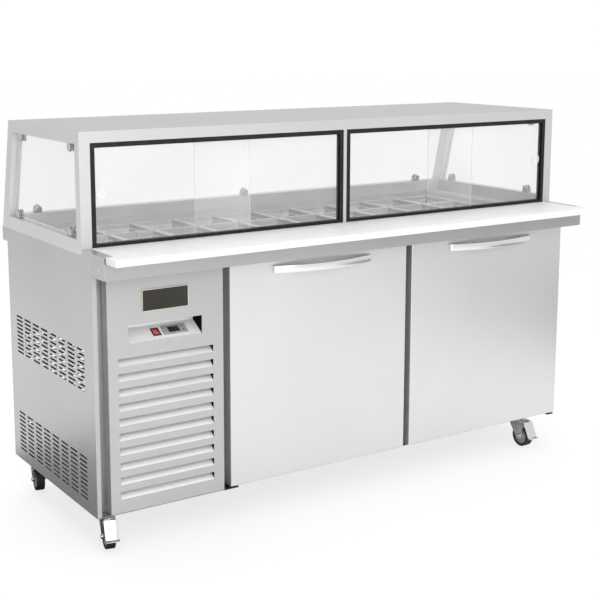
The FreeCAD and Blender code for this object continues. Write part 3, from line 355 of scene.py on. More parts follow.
# The pans' side walls are painted darker than rim and floor: painted shade for the dark corners inside the
# pans.
PAN_WALL_SHADED = DrawnStainless("pan_wall_painted_shade", "BEBEBE", "B0B0B0")
# Hot-dip spangle: flat grey crystals about a thumbnail across.
GALVANISED = ZincSheet("bay_sheet_galvanised", "A5A8AA", "979A9C", 14.0, 0.38, 0.55)
# Inner faces of the machine bay: painted near black, a painted shade that keeps the bay dark behind the
# vents.
BAY_SHADE = Coated("bay_lining_black_felt", "26272A", "191A1C", 1.4, 0.85, 0.95, 0.3)
# Caster metal: bright zinc plating with fine crystals and a clean sheen.
BRIGHT_ZINC = ZincSheet("caster_zinc_plated", "E2E2DF", "D8D8D5", 1.6, 0.20, 0.34)
# Hinge brackets: satin black powder coat.
BLACK_PAINT = Coated("bracket_black_powder_coat", "1E1E1E", "141414", 0.6, 0.38, 0.50, 0.03)
# Glass tracks: black anodised aluminium, satin with fine extrusion lines.
BLACK_TRACK = Coated("track_black_anodised", "2B2B2B", "1C1C1C", 0.5, 0.32, 0.44, 0.01, 0.6)
# Liner: satin aluminium with fine stucco dimples.
LINER = Coated("liner_satin_aluminium", "D8D9DA", "C8C9CA", 3.0, 0.34, 0.46, 0.12, 1.0)
# Door linings: white-grey ABS, vacuum formed, so softly glossy and faintly dimpled.
LINING = Coated("door_lining_vacuum_formed_abs", "E4E5E5", "D9DADA", 1.5, 0.30, 0.42, 0.05)
# Breaker strips: grey extruded PVC.
BREAKER = Coated("breaker_strip_grey_pvc", "6F7173", "646668", 0.8, 0.40, 0.52, 0.02)
# Foam: the cut face of rigid polyurethane, matte and cellular.
FOAM = Coated("foam_rigid_polyurethane", "E3D3A2", "D6C48E", 1.6, 0.85, 0.95, 0.4)
# Gasket: soft grey PVC, matte.
GASKET = Coated("gasket_soft_grey_pvc", "4E5052", "434547", 0.7, 0.55, 0.70, 0.02)
# Sliding, side and rear panes.
PANE_GLASS = ClearGlass("pane_tempered_glass", "CDD3D1", 0.07, 0.12)
# Ground and polished glass edges: paler and denser than the faces, with a cool cast.
PANE_EDGE = ClearGlass("pane_polished_edge", "C6D3CF", 0.55, 0.70, 0.15)
# Finger pulls: frosted clear acrylic.
PULL_ACRYLIC = ClearGlass("pull_frosted_acrylic", "DDE3E1", 0.40, 0.50, 0.25)
# Glass clamps: satin aluminium castings.
CLAMP_ALUMINIUM = Coated("clamp_satin_aluminium", "CDCDCD", "B8B8B8", 0.8, 0.26, 0.36, 0.02, 1.0)
# Board: white polyethylene with a fine satin grain and faint knife haze.
BOARD_PE = Coated("board_white_polyethylene", "E3E3E2", "DCDCDB", 1.2, 0.42, 0.55, 0.06)
# Nameplate: printed dark aluminium with a pale gold rim.
PLATE_FACE = Coated("plate_face_dark_print", "2C2A24", "24221D", 0.5, 0.30, 0.42, 0.01, 0.3)
PLATE_RIM = Coated("plate_rim_pale_gold", "DEDAC4", "D3CEB4", 0.5, 0.28, 0.38, 0.01, 0.7)
# Switch: black nylon bezel and translucent red rocker.
BEZEL_BLACK = Coated("bezel_black_nylon", "2A2627", "1E1B1C", 0.7, 0.34, 0.46, 0.03)
ROCKER_RED = Coated("rocker_red_polycarbonate", "F4667A", "E65468", 0.6, 0.12, 0.22, 0.01, 0.0, 0.5)
# Controller: silver-grey ABS with a smoked window and soft keys.
CONTROLLER_ABS = Coated("controller_silver_grey_abs", "A9A9A9", "999999", 0.8, 0.34, 0.46, 0.02)
CONTROLLER_WINDOW = Coated("controller_smoked_window", "3B3B3D", "2B2B2D", 0.5, 0.08, 0.16, 0.002, 0.0, 0.6)
KEY_RUBBER = Coated("key_silicone_rubber", "7A7B7D", "6D6E70", 0.5, 0.50, 0.62, 0.01)
# Wheels: black rubber tread, grey polypropylene hub.
TREAD_RUBBER = Coated("tread_black_rubber", "2A2A2B", "1D1D1E", 0.8, 0.52, 0.68, 0.04)
HUB_PLASTIC = Coated("hub_grey_polypropylene", "9A9C9E", "8B8D8F", 0.9, 0.38, 0.50, 0.03)
# Compressor: gloss black stove enamel with a little orange peel.
COMPRESSOR_ENAMEL = Coated("compressor_black_enamel", "17181A", "101113", 5.0, 0.14, 0.24, 0.08, 0.0, 0.3)
# Coils: bare aluminium fins, dull from their many edges.
FIN_ALUMINIUM = Coated("fin_bare_aluminium", "C4C6C8", "AEB0B2", 1.0, 0.35, 0.50, 0.02, 1.0)
# Fan shrouds: plain grey paint, nearly matte.
SHROUD_PAINT = Coated("shroud_grey_paint", "8E9092", "7F8183", 1.0, 0.45, 0.58, 0.03)
# Fans: glass-filled nylon.
FAN_NYLON = Coated("fan_black_glass_nylon", "262729", "1B1C1E", 1.2, 0.40, 0.52, 0.04)
# Shelves: epoxy-coated wire.
SHELF_EPOXY = Coated("shelf_white_epoxy_wire", "E9E9E6", "DEDEDA", 0.8, 0.28, 0.40, 0.02)
# Floor under the table: even pale studio paint.
STUDIO_PAINT = Coated("studio_floor_paint", "F7F7F7", "F4F4F4", 8.0, 0.85, 0.95, 0.01)
# Cards beside the table: dull dark grey.
CARD_PAINT = Coated("studio_card_paint", "3E3E3E", "393939", 8.0, 0.85, 0.95, 0.01)


# ---- modelling helpers --------------------------------------------------------------
def deselect() -> None:
    """Leaves nothing selected and no object in edit mode."""
    if bpy.context.object is not None and bpy.context.object.mode != "OBJECT":
        bpy.ops.object.mode_set(mode="OBJECT")
    bpy.ops.object.select_all(action="DESELECT")


def activate(piece: bpy.types.Object) -> None:
    """Makes one object the only selected one, and active."""
    deselect()
    piece.select_set(True)
    bpy.context.view_layer.objects.active = piece


def settle(piece: bpy.types.Object) -> bpy.types.Object:
    """Moves an object's place and turn into its mesh, so that the object sits at the origin."""
    activate(piece)
    bpy.ops.object.transform_apply(location=True, rotation=True, scale=True)
    return piece


def new_box(name: str, low: Iterable[float], high: Iterable[float]) -> bpy.types.Object:
    """Adds a box between two corners.

    Args:
        name: Name of the piece.
        low: Lowest corner in metres.
        high: Highest corner in metres.

    Returns:
        The new object.
    """
    deselect()
    a = Vector(low)
    b = Vector(high)
    bpy.ops.mesh.primitive_cube_add(size=1.0, location=(a + b) / 2, scale=b - a)
    made = bpy.context.object
    made.name = name
    return settle(made)


def new_rod(name: str, centre: Iterable[float], axis: Iterable[float], radius: float, length: float,
            sides: int = 48) -> bpy.types.Object:
    """Adds a cylinder about a centre, along an axis.

    Args:
        name: Name of the piece.
        centre: Its middle in metres.
        axis: Direction it runs in.
        radius: Radius in metres.
        length: Length in metres.
        sides: How many sides it has.

    Returns:
        The new object.
    """
    deselect()
    bpy.ops.mesh.primitive_cylinder_add(vertices=sides, radius=radius, depth=length)
    made = bpy.context.object
    made.name = name
    made.rotation_mode = "QUATERNION"
    made.rotation_quaternion = Vector((0, 0, 1)).rotation_difference(Vector(axis))
    made.location = Vector(centre)
    return settle(made)


def new_ring(name: str, centre: Iterable[float], axis: Iterable[float], radius: float, wire: float,
             sides: int = 48) -> bpy.types.Object:
    """Adds a ring of round wire about an axis.

    Args:
        name: Name of the piece.
        centre: Its middle in metres.
        axis: The ring's axis.
        radius: Radius of the wire's centre line in metres.
        wire: Radius of the wire in metres.
        sides: How many steps round the ring.

    Returns:
        The new object.
    """
    deselect()
    bpy.ops.mesh.primitive_torus_add(major_radius=radius, minor_radius=wire, major_segments=sides,
                                     minor_segments=8)
    made = bpy.context.object
    made.name = name
    made.rotation_mode = "QUATERNION"
    made.rotation_quaternion = Vector((0, 0, 1)).rotation_difference(Vector(axis))
    made.location = Vector(centre)
    return settle(made)


def edit_faces(piece: bpy.types.Object, wanted: Callable[[bpy.types.MeshPolygon], bool]) -> None:
    """Enters edit mode with only the wanted faces selected.

    Args:
        piece: The object to edit.
        wanted: Says for each face whether it is selected.
    """
    activate(piece)
    mesh = piece.data
    chosen = [face.index for face in mesh.polygons if wanted(face)]
    mesh.vertices.foreach_set("select", [False] * len(mesh.vertices))
    mesh.edges.foreach_set("select", [False] * len(mesh.edges))
    mesh.polygons.foreach_set("select", [False] * len(mesh.polygons))
    bpy.ops.object.mode_set(mode="EDIT")
    bpy.ops.mesh.select_mode(type="FACE")
    bpy.ops.object.mode_set(mode="OBJECT")
    for index in chosen:
        mesh.polygons[index].select = True
    bpy.ops.object.mode_set(mode="EDIT")


def facing(direction: Iterable[float]) -> Callable[[bpy.types.MeshPolygon], bool]:
    """A test for faces that look in one direction."""
    aim = Vector(direction).normalized()
    return lambda face: face.normal.dot(aim) > 0.9


def push(offset: Iterable[float]) -> None:
    """Extrudes the selected faces by an offset, in edit mode."""
    bpy.ops.mesh.extrude_region_move(TRANSFORM_OT_translate={"value": Vector(offset)})


def squeeze(scale: Iterable[float], centre: Iterable[float]) -> None:
    """Scales the selection about a centre, in edit mode."""
    bpy.ops.transform.resize(value=Vector(scale), center_override=Vector(centre))


def leave_edit() -> None:
    """Goes back to object mode."""
    bpy.ops.object.mode_set(mode="OBJECT")


def round_edges(piece: bpy.types.Object, width_mm: float, segments: int = 3, angle: float = 35.0) -> None:
    """Rounds every sharp edge of a piece and smooths its shading.

    Args:
        piece: The object to finish.
        width_mm: Width of the rounding in millimetres.
        segments: Steps across the rounding.
        angle: Edges sharper than this many degrees are rounded.
    """
    activate(piece)
    bevel = piece.modifiers.new("round_edges", "BEVEL")
    bevel.width = width_mm * MM
    bevel.segments = segments
    bevel.limit_method = "ANGLE"
    bevel.angle_limit = math.radians(angle)
    bevel.harden_normals = False
    bpy.ops.object.modifier_apply(modifier=bevel.name)
    bpy.ops.object.shade_smooth_by_angle(angle=math.radians(40.0))


def joined(name: str, parts: list[bpy.types.Object]) -> bpy.types.Object:
    """Joins objects into one.

    Args:
        name: Name of the joined piece.
        parts: The objects, the first of which is kept.

    Returns:
        The joined object.
    """
    activate(parts[0])
    for part in parts[1:]:
        part.select_set(True)
    bpy.ops.object.join()
    made = bpy.context.object
    made.name = name
    return made


def copied(piece: bpy.types.Object, name: str, turn: Matrix) -> bpy.types.Object:
    """Copies a piece with its own mesh, moved by a matrix.

    Args:
        piece: The object to copy.
        name: Name of the copy.
        turn: Where the copy's mesh goes.

    Returns:
        The copy.
    """
    activate(piece)
    bpy.ops.object.duplicate(linked=False)
    made = bpy.context.object
    made.name = name
    made.matrix_world = turn @ made.matrix_world
    return settle(made)


def softened(node_name: str, name: str, width_mm: float, segments: int = 3) -> bpy.types.Object:
    """A copy of a CAD node as one clean mesh with its edges rounded.

    Args:
        node_name: The CAD node to copy.
        name: Name of the new piece.
        width_mm: Width of the rounding in millimetres.
        segments: Steps across the rounding.

    Returns:
        The new object.
    """
    source = frame["nodes"][node_name]
    made = bpy.data.objects.new(name, source.data.copy())
    bpy.context.scene.collection.objects.link(made)
    activate(made)
    bpy.ops.object.mode_set(mode="EDIT")
    bpy.ops.mesh.select_all(action="SELECT")
    bpy.ops.mesh.remove_doubles(threshold=0.00001)
    bpy.ops.mesh.dissolve_limited(angle_limit=math.radians(0.5))
    leave_edit()
    round_edges(made, width_mm, segments)
    return made


def paint(piece: bpy.types.Object, *finishes: Finish) -> bpy.types.Object:
    """Gives a piece its finishes, in slot order."""
    piece.data.materials.clear()
    for finish in finishes:
        piece.data.materials.append(finish.material())
    return piece


def place_finish(piece: bpy.types.Object, slot_number: int,
                 wanted: Callable[[bpy.types.MeshPolygon], bool]) -> None:
    """Puts the wanted faces of a piece on one of its material slots."""
    for face in piece.data.polygons:
        if wanted(face):
            face.material_index = slot_number


def finish_piece(piece: bpy.types.Object, body: str, slot_name: str, *nodes: str) -> None:
    """Hands a finished piece over to the frame.

    Args:
        piece: The finished object.
        body: The CAD body it rides on.
        slot_name: The record's material slot; not used.
        nodes: CAD nodes it stands for.
    """
    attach(piece, body)
    if nodes:
        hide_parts(*nodes)
    LOG.info("piece %s on %s", piece.name, body)


def middle_of(node_name: str) -> Vector:
    """Centre of a CAD node's box."""
    low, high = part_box(node_name)
    return (low + high) / 2


def joint(name: str) -> dict:
    """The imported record's joint of that name."""
    return next(entry for entry in frame["joints"] if entry["name"] == name)


# ---- sub-assemblies -----------------------------------------------------------------
@dataclass
class SheetMetal:
    """The cabinet's CAD sheets, which keep their shape and take their finishes."""

    bay_front: float = -0.208
    strip_inset_mm: float = 2.0
    strip_depth_mm: float = 36.0
    strip_lap_mm: float = 8.0
    strip_thick_mm: float = 1.0

    def dress(self) -> None:
        """Gives every kept CAD node its finish."""
        plan = {
            # Side, desk and apron steels carry painted shade and painted highlight in their tone.
            SIDE_STEEL_SHADED: ("side_panel_right",),
            GALVANISED: ("base_tray",),
            FOAM: ("insulation_foam",),
            LINER: ("inner_liner",),
            BREAKER: ("breaker_frame",),
            DESK_STEEL_LIT: ("control_panel",),
            TOP_STEEL: ("worktop", "pan_well", "pan_divider_bars"),
            APRON_STEEL_SHADED: ("board_shelf",),
            BLACK_TRACK: ("glass_tracks",),
            BLACK_PAINT: ("hinge_brackets",),
            SHELF_EPOXY: ("wire_shelves",),
            COMPRESSOR_ENAMEL: ("compressor",),
            FAN_NYLON: ("condenser_fan", "evaporator_fan"),
            KEY_RUBBER: ("key_up", "key_down"),
            BRIGHT_ZINC: ("caster_plates", "panel_screws"),
        }
        for finish, names in plan.items():
            for name in names:
                paint(frame["nodes"][name], finish)
                LOG.info("finish %s on %s", finish.name, name)
        self.bay()
        self.roof()
        self.rails()
        self.grille()
        self.corner_strip()

    def rails(self) -> None:
        """The rear members' inner faces are painted brighter: painted light from the pans."""
        node = paint(frame["nodes"]["guard_frame"], GUARD_STEEL, RAIL_STEEL_LIT)
        middle = middle_of("guard_frame").y
        place_finish(node, 1, lambda face: face.center.y > middle and face.normal.y < -0.5)

    def grille(self) -> None:
        """The louvre blades' upward faces take the near-white finish: painted light, brighter than the flat
        sheet.
        """
        node = paint(frame["nodes"]["front_grille"], GRILLE_STEEL_SHADED, LOUVRE_STEEL_LIT)
        place_finish(node, 1, lambda face: face.normal.y < -0.1 and face.normal.z > 0.3)

    def corner_strip(self) -> None:
        """A strip of sheet that backs the open gap between the side sheet's fold and the grille."""
        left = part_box("side_panel_left")[0].x + self.strip_inset_mm * MM
        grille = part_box("front_grille")[0]
        front = grille.y + self.strip_depth_mm * MM
        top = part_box("front_grille")[1].z
        piece = new_box("bay_corner_strip", (left, front, grille.z),
                        (grille.x + self.strip_lap_mm * MM, front + self.strip_thick_mm * MM, top))
        round_edges(piece, 0.2, 2)
        # The strip takes the side sheets' finish, with its painted shade.
        finish_piece(paint(piece, SIDE_STEEL_SHADED), BODY, "stainless_body")

    def bay(self) -> None:
        """Paints the machine bay's inner faces near black as painted shade; the outer faces stay bare metal.
        """
        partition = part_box("bay_panels")[1].x
        painted_shade_plan = {
            "side_panel_left": (SIDE_STEEL_SHADED, lambda face: face.normal.x > 0.9 and face.center.z < 0.8
                                and face.center.y > self.bay_front),
            "back_panel": (GALVANISED, lambda face: face.normal.y < -0.9 and face.center.x < partition),
            "bay_panels": (GALVANISED, lambda face: face.normal.x < -0.9 or face.normal.y > 0.9),
        }
        for name, (outside, inside) in painted_shade_plan.items():
            node = paint(frame["nodes"][name], outside, BAY_SHADE)
            place_finish(node, 1, inside)

    def roof(self) -> None:
        """The roof sheet's flat faces are painted greyer than the fascia folded down from it, as painted
        reflection.
        """
        node = paint(frame["nodes"]["guard_roof"], GUARD_STEEL, ROOF_STEEL_SHADED)
        place_finish(node, 1, lambda face: abs(face.normal.z) > 0.9)


@dataclass
class Door:
    """A foam-filled door: brushed outer skin, formed inner lining, gasket and bowed pull."""

    side: str
    lining_step_mm: float = 6.0
    lining_border_mm: float = 46.0

    def build(self) -> None:
        """Builds the door's pieces."""
        paint(frame["nodes"][f"door_{self.side}_skin"], DOOR_STEEL)
        self.handle()
        self.lining()
        self.gasket()

    def handle(self) -> None:
        """The pull, with its long edges eased."""
        node_name = f"door_{self.side}_handle"
        piece = paint(softened(node_name, f"{node_name}_polished", 1.2), HANDLE_STEEL)
        finish_piece(piece, f"door_{self.side}", "stainless_handle", node_name)

    def lining(self) -> None:
        """The lining on the back of the door, with a sunk panel inside a raised border."""
        node_name = f"door_{self.side}_core"
        low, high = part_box(node_name)
        piece = new_box(f"door_{self.side}_lining", low, high)
        edit_faces(piece, facing((0, 1, 0)))
        bpy.ops.mesh.inset(thickness=self.lining_border_mm * MM)
        bpy.ops.mesh.inset(thickness=10 * MM, depth=-self.lining_step_mm * MM)
        bpy.ops.mesh.inset(thickness=60 * MM)
        bpy.ops.mesh.inset(thickness=6 * MM, depth=2.5 * MM)
        leave_edit()
        round_edges(piece, 1.8, 3, 20.0)
        paint(piece, LINING)
        finish_piece(piece, f"door_{self.side}", "door_lining", node_name)

    def gasket(self) -> None:
        """The gasket: a base strip, a bellows fold and a magnet bulb all the way round."""
        node_name = f"door_{self.side}_gasket"
        low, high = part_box(node_name)
        piece = new_box(f"door_{self.side}_gasket_bellows", low, high)
        edit_faces(piece, lambda face: abs(face.normal.y) > 0.9)
        bpy.ops.mesh.inset(thickness=12 * MM)
        bpy.ops.mesh.bridge_edge_loops()
        leave_edit()
        edit_faces(piece, lambda face: abs(face.normal.y) < 0.1)
        bpy.ops.mesh.subdivide(number_cuts=4)
        leave_edit()
        depth = high.y - low.y
        folds = (0.25, 0.55)
        edit_faces(piece, lambda face: abs(face.normal.y) < 0.1
                   and folds[0] < (face.center.y - low.y) / depth < folds[1])
        bpy.ops.mesh.inset(thickness=0.8 * MM, depth=-1.6 * MM, use_boundary=True)
        leave_edit()
        round_edges(piece, 0.5, 2, 30.0)
        paint(piece, GASKET)
        finish_piece(piece, f"door_{self.side}", "gasket", node_name)


@dataclass
class FoodPans:
    """Ten deep-drawn pans in one row."""

    row: str
    columns: int = 10
    flange_mm: float = 8.5
    corner_mm: float = 7.0
    shoulder_mm: float = 2.0
    taper_mm: float = 10.0
    floor_round_mm: float = 12.0
    wall_mm: float = 1.0

    def build(self) -> None:
        """Models one pan and copies it along the row."""
        node_name = f"pans_{self.row}_row"
        low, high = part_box(node_name)
        pitch = (high.x - low.x + MM) / self.columns
        first = self.pan(low, Vector((low.x + pitch - MM, high.y, high.z)))
        pans = [copied(first, f"pan_{self.row}_{n}", Matrix.Translation((n * pitch, 0, 0)))
                for n in range(1, self.columns)]
        piece = joined(f"food_pans_{self.row}", [first] + pans)
        paint(piece, PAN_STEEL_LIT, PAN_WALL_SHADED)
        # Walls facing left and right take the darker finish: painted shade.
        place_finish(piece, 1, lambda face: abs(face.normal.z) < 0.5 and abs(face.normal.x) > 0.5)
        finish_piece(piece, f"pans_{self.row}", "stainless_pan", node_name)

    def pan(self, low: Vector, high: Vector) -> bpy.types.Object:
        """One pan: flat rim with a turned edge, a stacking shoulder, tapered walls, a rounded floor.

        Args:
            low: Lowest corner of the pan.
            high: Highest corner of the pan.

        Returns:
            The pan, at its place.
        """
        centre = (low + high) / 2
        size = high - low
        deselect()
        bpy.ops.mesh.primitive_plane_add(size=1.0, location=(centre.x, centre.y, high.z))
        piece = bpy.context.object
        piece.name = f"pan_{self.row}"
        piece.scale = (size.x - 0.4 * MM, size.y - 0.4 * MM, 1)
        settle(piece)
        bpy.ops.object.mode_set(mode="EDIT")
        bpy.ops.mesh.select_mode(type="VERT")
        bpy.ops.mesh.select_all(action="SELECT")
        bpy.ops.mesh.bevel(offset=self.corner_mm * MM, segments=5, affect="VERTICES")
        leave_edit()
        edit_faces(piece, lambda face: True)
        bpy.ops.mesh.inset(thickness=(self.flange_mm - 1.5) * MM)
        around = (centre.x, centre.y, high.z)
        inner_x = size.x / 2 - self.flange_mm * MM
        inner_y = size.y / 2 - self.flange_mm * MM
        bpy.ops.mesh.inset(thickness=1.5 * MM, depth=-1.5 * MM)
        push((0, 0, -14.0 * MM))
        bpy.ops.mesh.inset(thickness=self.shoulder_mm * MM, depth=-1.5 * MM)
        wall_depth = size.z - 17.0 * MM - self.floor_round_mm * MM
        push((0, 0, -wall_depth))
        taper = self.taper_mm * MM
        squeeze(((inner_x - taper) / inner_x, (inner_y - taper) / inner_y, 1), around)
        radius = self.floor_round_mm * MM
        steps = 3
        last_in = 0.0
        last_down = 0.0
        for step in range(1, steps + 1):
            turn = math.pi / 2 * step / steps
            inward = radius * (1 - math.cos(turn))
            down = radius * math.sin(turn)
            bpy.ops.mesh.inset(thickness=inward - last_in, depth=-(down - last_down))
            last_in = inward
            last_down = down
        leave_edit()
        self.thicken(piece)
        return piece

    def thicken(self, piece: bpy.types.Object) -> None:
        """Gives the pan's skin its sheet thickness below and outside it."""
        activate(piece)
        wall = piece.modifiers.new("sheet", "SOLIDIFY")
        wall.thickness = self.wall_mm * MM
        wall.offset = -1.0
        bpy.ops.object.modifier_apply(modifier=wall.name)
        bpy.ops.object.shade_smooth_by_angle(angle=math.radians(35.0))


@dataclass
class GlassGuard:
    """Sliding and fixed panes, their pulls and the clamps."""

    pane_mm: float = 4.0
    pulled: tuple[int, ...] = (1, 4)
    pull_inset_mm: float = 26.0
    pull_height_mm: float = 1027.0
    pull_radius_mm: float = 18.0
    pull_thick_mm: float = 3.0

    def build(self) -> None:
        """Builds the guard's pieces."""
        for number in range(1, 5):
            self.sliding_pane(number)
        fixed = frame["nodes"]["guard_glass"]
        paint(fixed, PANE_GLASS, PANE_EDGE)
        place_finish(fixed, 1, lambda face: abs(face.normal.z) > 0.9 or self.is_end(face))
        clamps = paint(softened("glass_clamps", "glass_clamps_cast", 0.8, 2), CLAMP_ALUMINIUM)
        finish_piece(clamps, BODY, "clamp", "glass_clamps")

    def is_end(self, face: bpy.types.MeshPolygon) -> bool:
        """Says whether a face is a fixed pane's upright edge."""
        leaning_pane = abs(face.center.x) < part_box("guard_glass")[1].x - 25 * MM
        if leaning_pane:
            return abs(face.normal.x) > 0.9
        return abs(face.normal.x) < 0.1

    def sliding_pane(self, number: int) -> None:
        """A pane with polished edges, and its finger pull if it is an outer one."""
        name = f"glass_pane_{number}"
        low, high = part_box(name)
        thick = self.pane_mm * MM
        pane = new_box(f"{name}_glass", (low.x, high.y - thick, low.z), high)
        round_edges(pane, 0.8, 2)
        paint(pane, PANE_GLASS, PANE_EDGE)
        place_finish(pane, 1, lambda face: abs(face.normal.y) < 0.95)
        finish_piece(pane, name, "glass", name)
        if number in self.pulled:
            x = low.x + self.pull_inset_mm * MM if number == 1 else high.x - self.pull_inset_mm * MM
            self.pull(number, Vector((x, low.y, self.pull_height_mm * MM)))

    def pull(self, number: int, front: Vector) -> None:
        """A round finger pull with a dished face.

        Args:
            number: Which pane it is on.
            front: Centre of its front face.
        """
        thick = self.pull_thick_mm * MM
        piece = new_rod(f"glass_pane_{number}_pull", front + Vector((0, thick / 2, 0)), (0, 1, 0),
                        self.pull_radius_mm * MM, thick)
        edit_faces(piece, facing((0, -1, 0)))
        bpy.ops.mesh.inset(thickness=3.5 * MM)
        bpy.ops.mesh.inset(thickness=3.0 * MM, depth=-1.7 * MM)
        bpy.ops.mesh.inset(thickness=6.0 * MM, depth=-0.4 * MM)
        leave_edit()
        round_edges(piece, 0.6, 2, 20.0)
        paint(piece, PULL_ACRYLIC)
        finish_piece(piece, f"glass_pane_{number}", "pull")


@dataclass
class Board:
    """The full-width cutting board."""

    edge_mm: float = 2.5

    def build(self) -> None:
        """The board with its edges routed round."""
        piece = paint(softened("cutting_board", "cutting_board_routed", self.edge_mm, 4), BOARD_PE)
        finish_piece(piece, "cutting_board", "board", "cutting_board")


@dataclass
class Controls:
    """Switch, controller and nameplate on the front of the machine bay."""

    rim_mm: float = 1.2
    window_from_keys_mm: float = 36.5
    window_half_mm: tuple[float, float, float] = (24.5, 13.5, 0.4)
    window_sink_mm: float = 0.1
    plate_rise_mm: float = 2.0

    def build(self) -> None:
        """Builds the pieces of the control desk."""
        self.nameplate()
        bezel = paint(softened("switch_bezel", "switch_bezel_moulded", 0.6, 2), BEZEL_BLACK)
        finish_piece(bezel, BODY, "switch_black", "switch_bezel")
        self.rocker()
        self.controller()

    def nameplate(self) -> None:
        """A blank plate: dark face sunk inside a pale rim."""
        low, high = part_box("nameplate")
        low = low - Vector((0, self.plate_rise_mm * MM, 0))
        piece = new_box("nameplate_blank", low, high)
        edit_faces(piece, facing((0, -1, 0)))
        bpy.ops.mesh.inset(thickness=self.rim_mm * MM)
        bpy.ops.mesh.inset(thickness=0.6 * MM, depth=-0.7 * MM)
        leave_edit()
        paint(piece, PLATE_RIM, PLATE_FACE)
        centre = (low + high) / 2
        place_finish(piece, 1, lambda face: face.normal.y < -0.9 and abs(face.center.x - centre.x) < 1 * MM
                     and face.center.y > low.y + 0.3 * MM)
        round_edges(piece, 0.3, 2)
        finish_piece(piece, BODY, "nameplate", "nameplate")

    def rocker(self) -> None:
        """The rocker, with its edges eased."""
        piece = paint(softened("rocker_switch", "rocker_switch_moulded", 0.5, 3), ROCKER_RED)
        finish_piece(piece, "rocker_switch", "switch_red", "rocker_switch")

    def controller(self) -> None:
        """The controller's body, with a smoked window lying in its recess."""
        body = paint(softened("controller_body", "controller_moulded", 0.7, 3), CONTROLLER_ABS)
        finish_piece(body, BODY, "controller", "controller_body")
        window = self.window()
        finish_piece(window, BODY, "controller")

    def window(self) -> bpy.types.Object:
        """The smoked window, laid on the slope of the controller's face.

        Returns:
            The window piece.
        """
        press = Vector(joint("key_up_press")["axis"])
        outward = -press.normalized()
        upslope = Vector((1, 0, 0)).cross(outward) * -1
        if upslope.z < 0:
            upslope = -upslope
        keys = (middle_of("key_up") + middle_of("key_down")) / 2
        beside = Vector((-self.window_from_keys_mm * MM, 0, 0))
        centre = keys + beside - outward * (self.window_sink_mm * MM)
        half = Vector(self.window_half_mm) * MM
        piece = new_box("controller_window", -half, half)
        piece.matrix_world = Matrix.Translation(centre) @ Matrix((
            (1, 0, 0, 0), (0, upslope.y, outward.y, 0), (0, upslope.z, outward.z, 0), (0, 0, 0, 1)))
        settle(piece)
        round_edges(piece, 0.2, 2)
        return paint(piece, CONTROLLER_WINDOW)


@dataclass
class Caster:
    """A swivel caster: rubber tread, plastic hub, zinc fork with hex nuts, and for some a brake."""

    corner: str
    braked: bool
    radius_mm: float = 37.5
    width_mm: float = 26.0
    hub_mm: float = 27.5

    def build(self) -> None:
        """Builds the caster's pieces."""
        spin = joint(f"wheel_{self.corner}_spin")
        self.centre = Vector(spin["pos_m"])
        self.axis = Vector(spin["axis"]).normalized()
        self.tread()
        self.hub()
        self.fork()
        if self.braked:
            name = f"brake_pedal_{self.corner}"
            piece = paint(softened(name, f"{name}_pressed", 0.7, 2), BRIGHT_ZINC)
            finish_piece(piece, f"pedal_{self.corner}", "zinc_plate", name)

    def tread(self) -> None:
        """The tyre: a crowned ring with a moulded groove by each shoulder."""
        piece = new_rod(f"caster_tread_{self.corner}", (0, 0, 0), (1, 0, 0), self.radius_mm * MM,
                        self.width_mm * MM, 72)
        edit_faces(piece, lambda face: abs(face.normal.x) > 0.9)
        bpy.ops.mesh.inset(thickness=(self.radius_mm - self.hub_mm) * MM)
        bpy.ops.mesh.bridge_edge_loops()
        leave_edit()
        edit_faces(piece, lambda face: abs(face.normal.x) < 0.1
                   and face.center.length > (self.hub_mm + 5) * MM)
        bpy.ops.mesh.inset(thickness=5.0 * MM, use_even_offset=True)
        bpy.ops.mesh.inset(thickness=0.6 * MM, depth=-0.9 * MM)
        bpy.ops.mesh.inset(thickness=0.6 * MM, depth=0.9 * MM)
        leave_edit()
        round_edges(piece, 1.6, 3, 50.0)
        paint(piece, TREAD_RUBBER)
        self.settle_on_axle(piece)
        finish_piece(piece, f"wheel_{self.corner}", "tread", f"caster_wheel_{self.corner}")

    def hub(self) -> None:
        """The hub: a dished disc with a boss at the bearing."""
        piece = new_rod(f"caster_hub_{self.corner}", (0, 0, 0), (1, 0, 0), (self.hub_mm + 0.2) * MM,
                        (self.width_mm - 3) * MM, 48)
        edit_faces(piece, lambda face: abs(face.normal.x) > 0.9)
        bpy.ops.mesh.inset(thickness=3.0 * MM)
        bpy.ops.mesh.inset(thickness=1.5 * MM, depth=-4.0 * MM)
        bpy.ops.mesh.inset(thickness=9.0 * MM)
        bpy.ops.mesh.inset(thickness=1.0 * MM, depth=6.0 * MM)
        bpy.ops.mesh.inset(thickness=(self.hub_mm - 14.5 - 4.1) * MM)
        leave_edit()
        round_edges(piece, 0.6, 2)
        paint(piece, HUB_PLASTIC)
        self.settle_on_axle(piece)
        finish_piece(piece, f"wheel_{self.corner}", "wheel_hub")

    def fork(self) -> None:
        """The fork with eased edges, and a hex nut and a bolt head at the axle."""
        name = f"caster_fork_{self.corner}"
        piece = paint(softened(name, f"{name}_pressed", 0.6, 2), BRIGHT_ZINC)
        nuts = []
        for sign in (-1, 1):
            nut = new_rod(f"axle_nut_{self.corner}", (sign * 20.6 * MM, 0, 0), (1, 0, 0), 7.2 * MM,
                          5.0 * MM, 6)
            round_edges(nut, 0.6, 2)
            self.settle_on_axle(nut)
            nuts.append(paint(nut, BRIGHT_ZINC))
        piece = joined(f"{name}_pressed", [piece] + nuts)
        finish_piece(piece, f"caster_{self.corner}", "zinc_plate", name)

    def settle_on_axle(self, piece: bpy.types.Object) -> None:
        """Moves a piece modelled about the origin on to this caster's axle."""
        turn = math.atan2(self.axis.y, self.axis.x)
        piece.matrix_world = Matrix.Translation(self.centre) @ Matrix.Rotation(turn, 4, "Z")
        settle(piece)


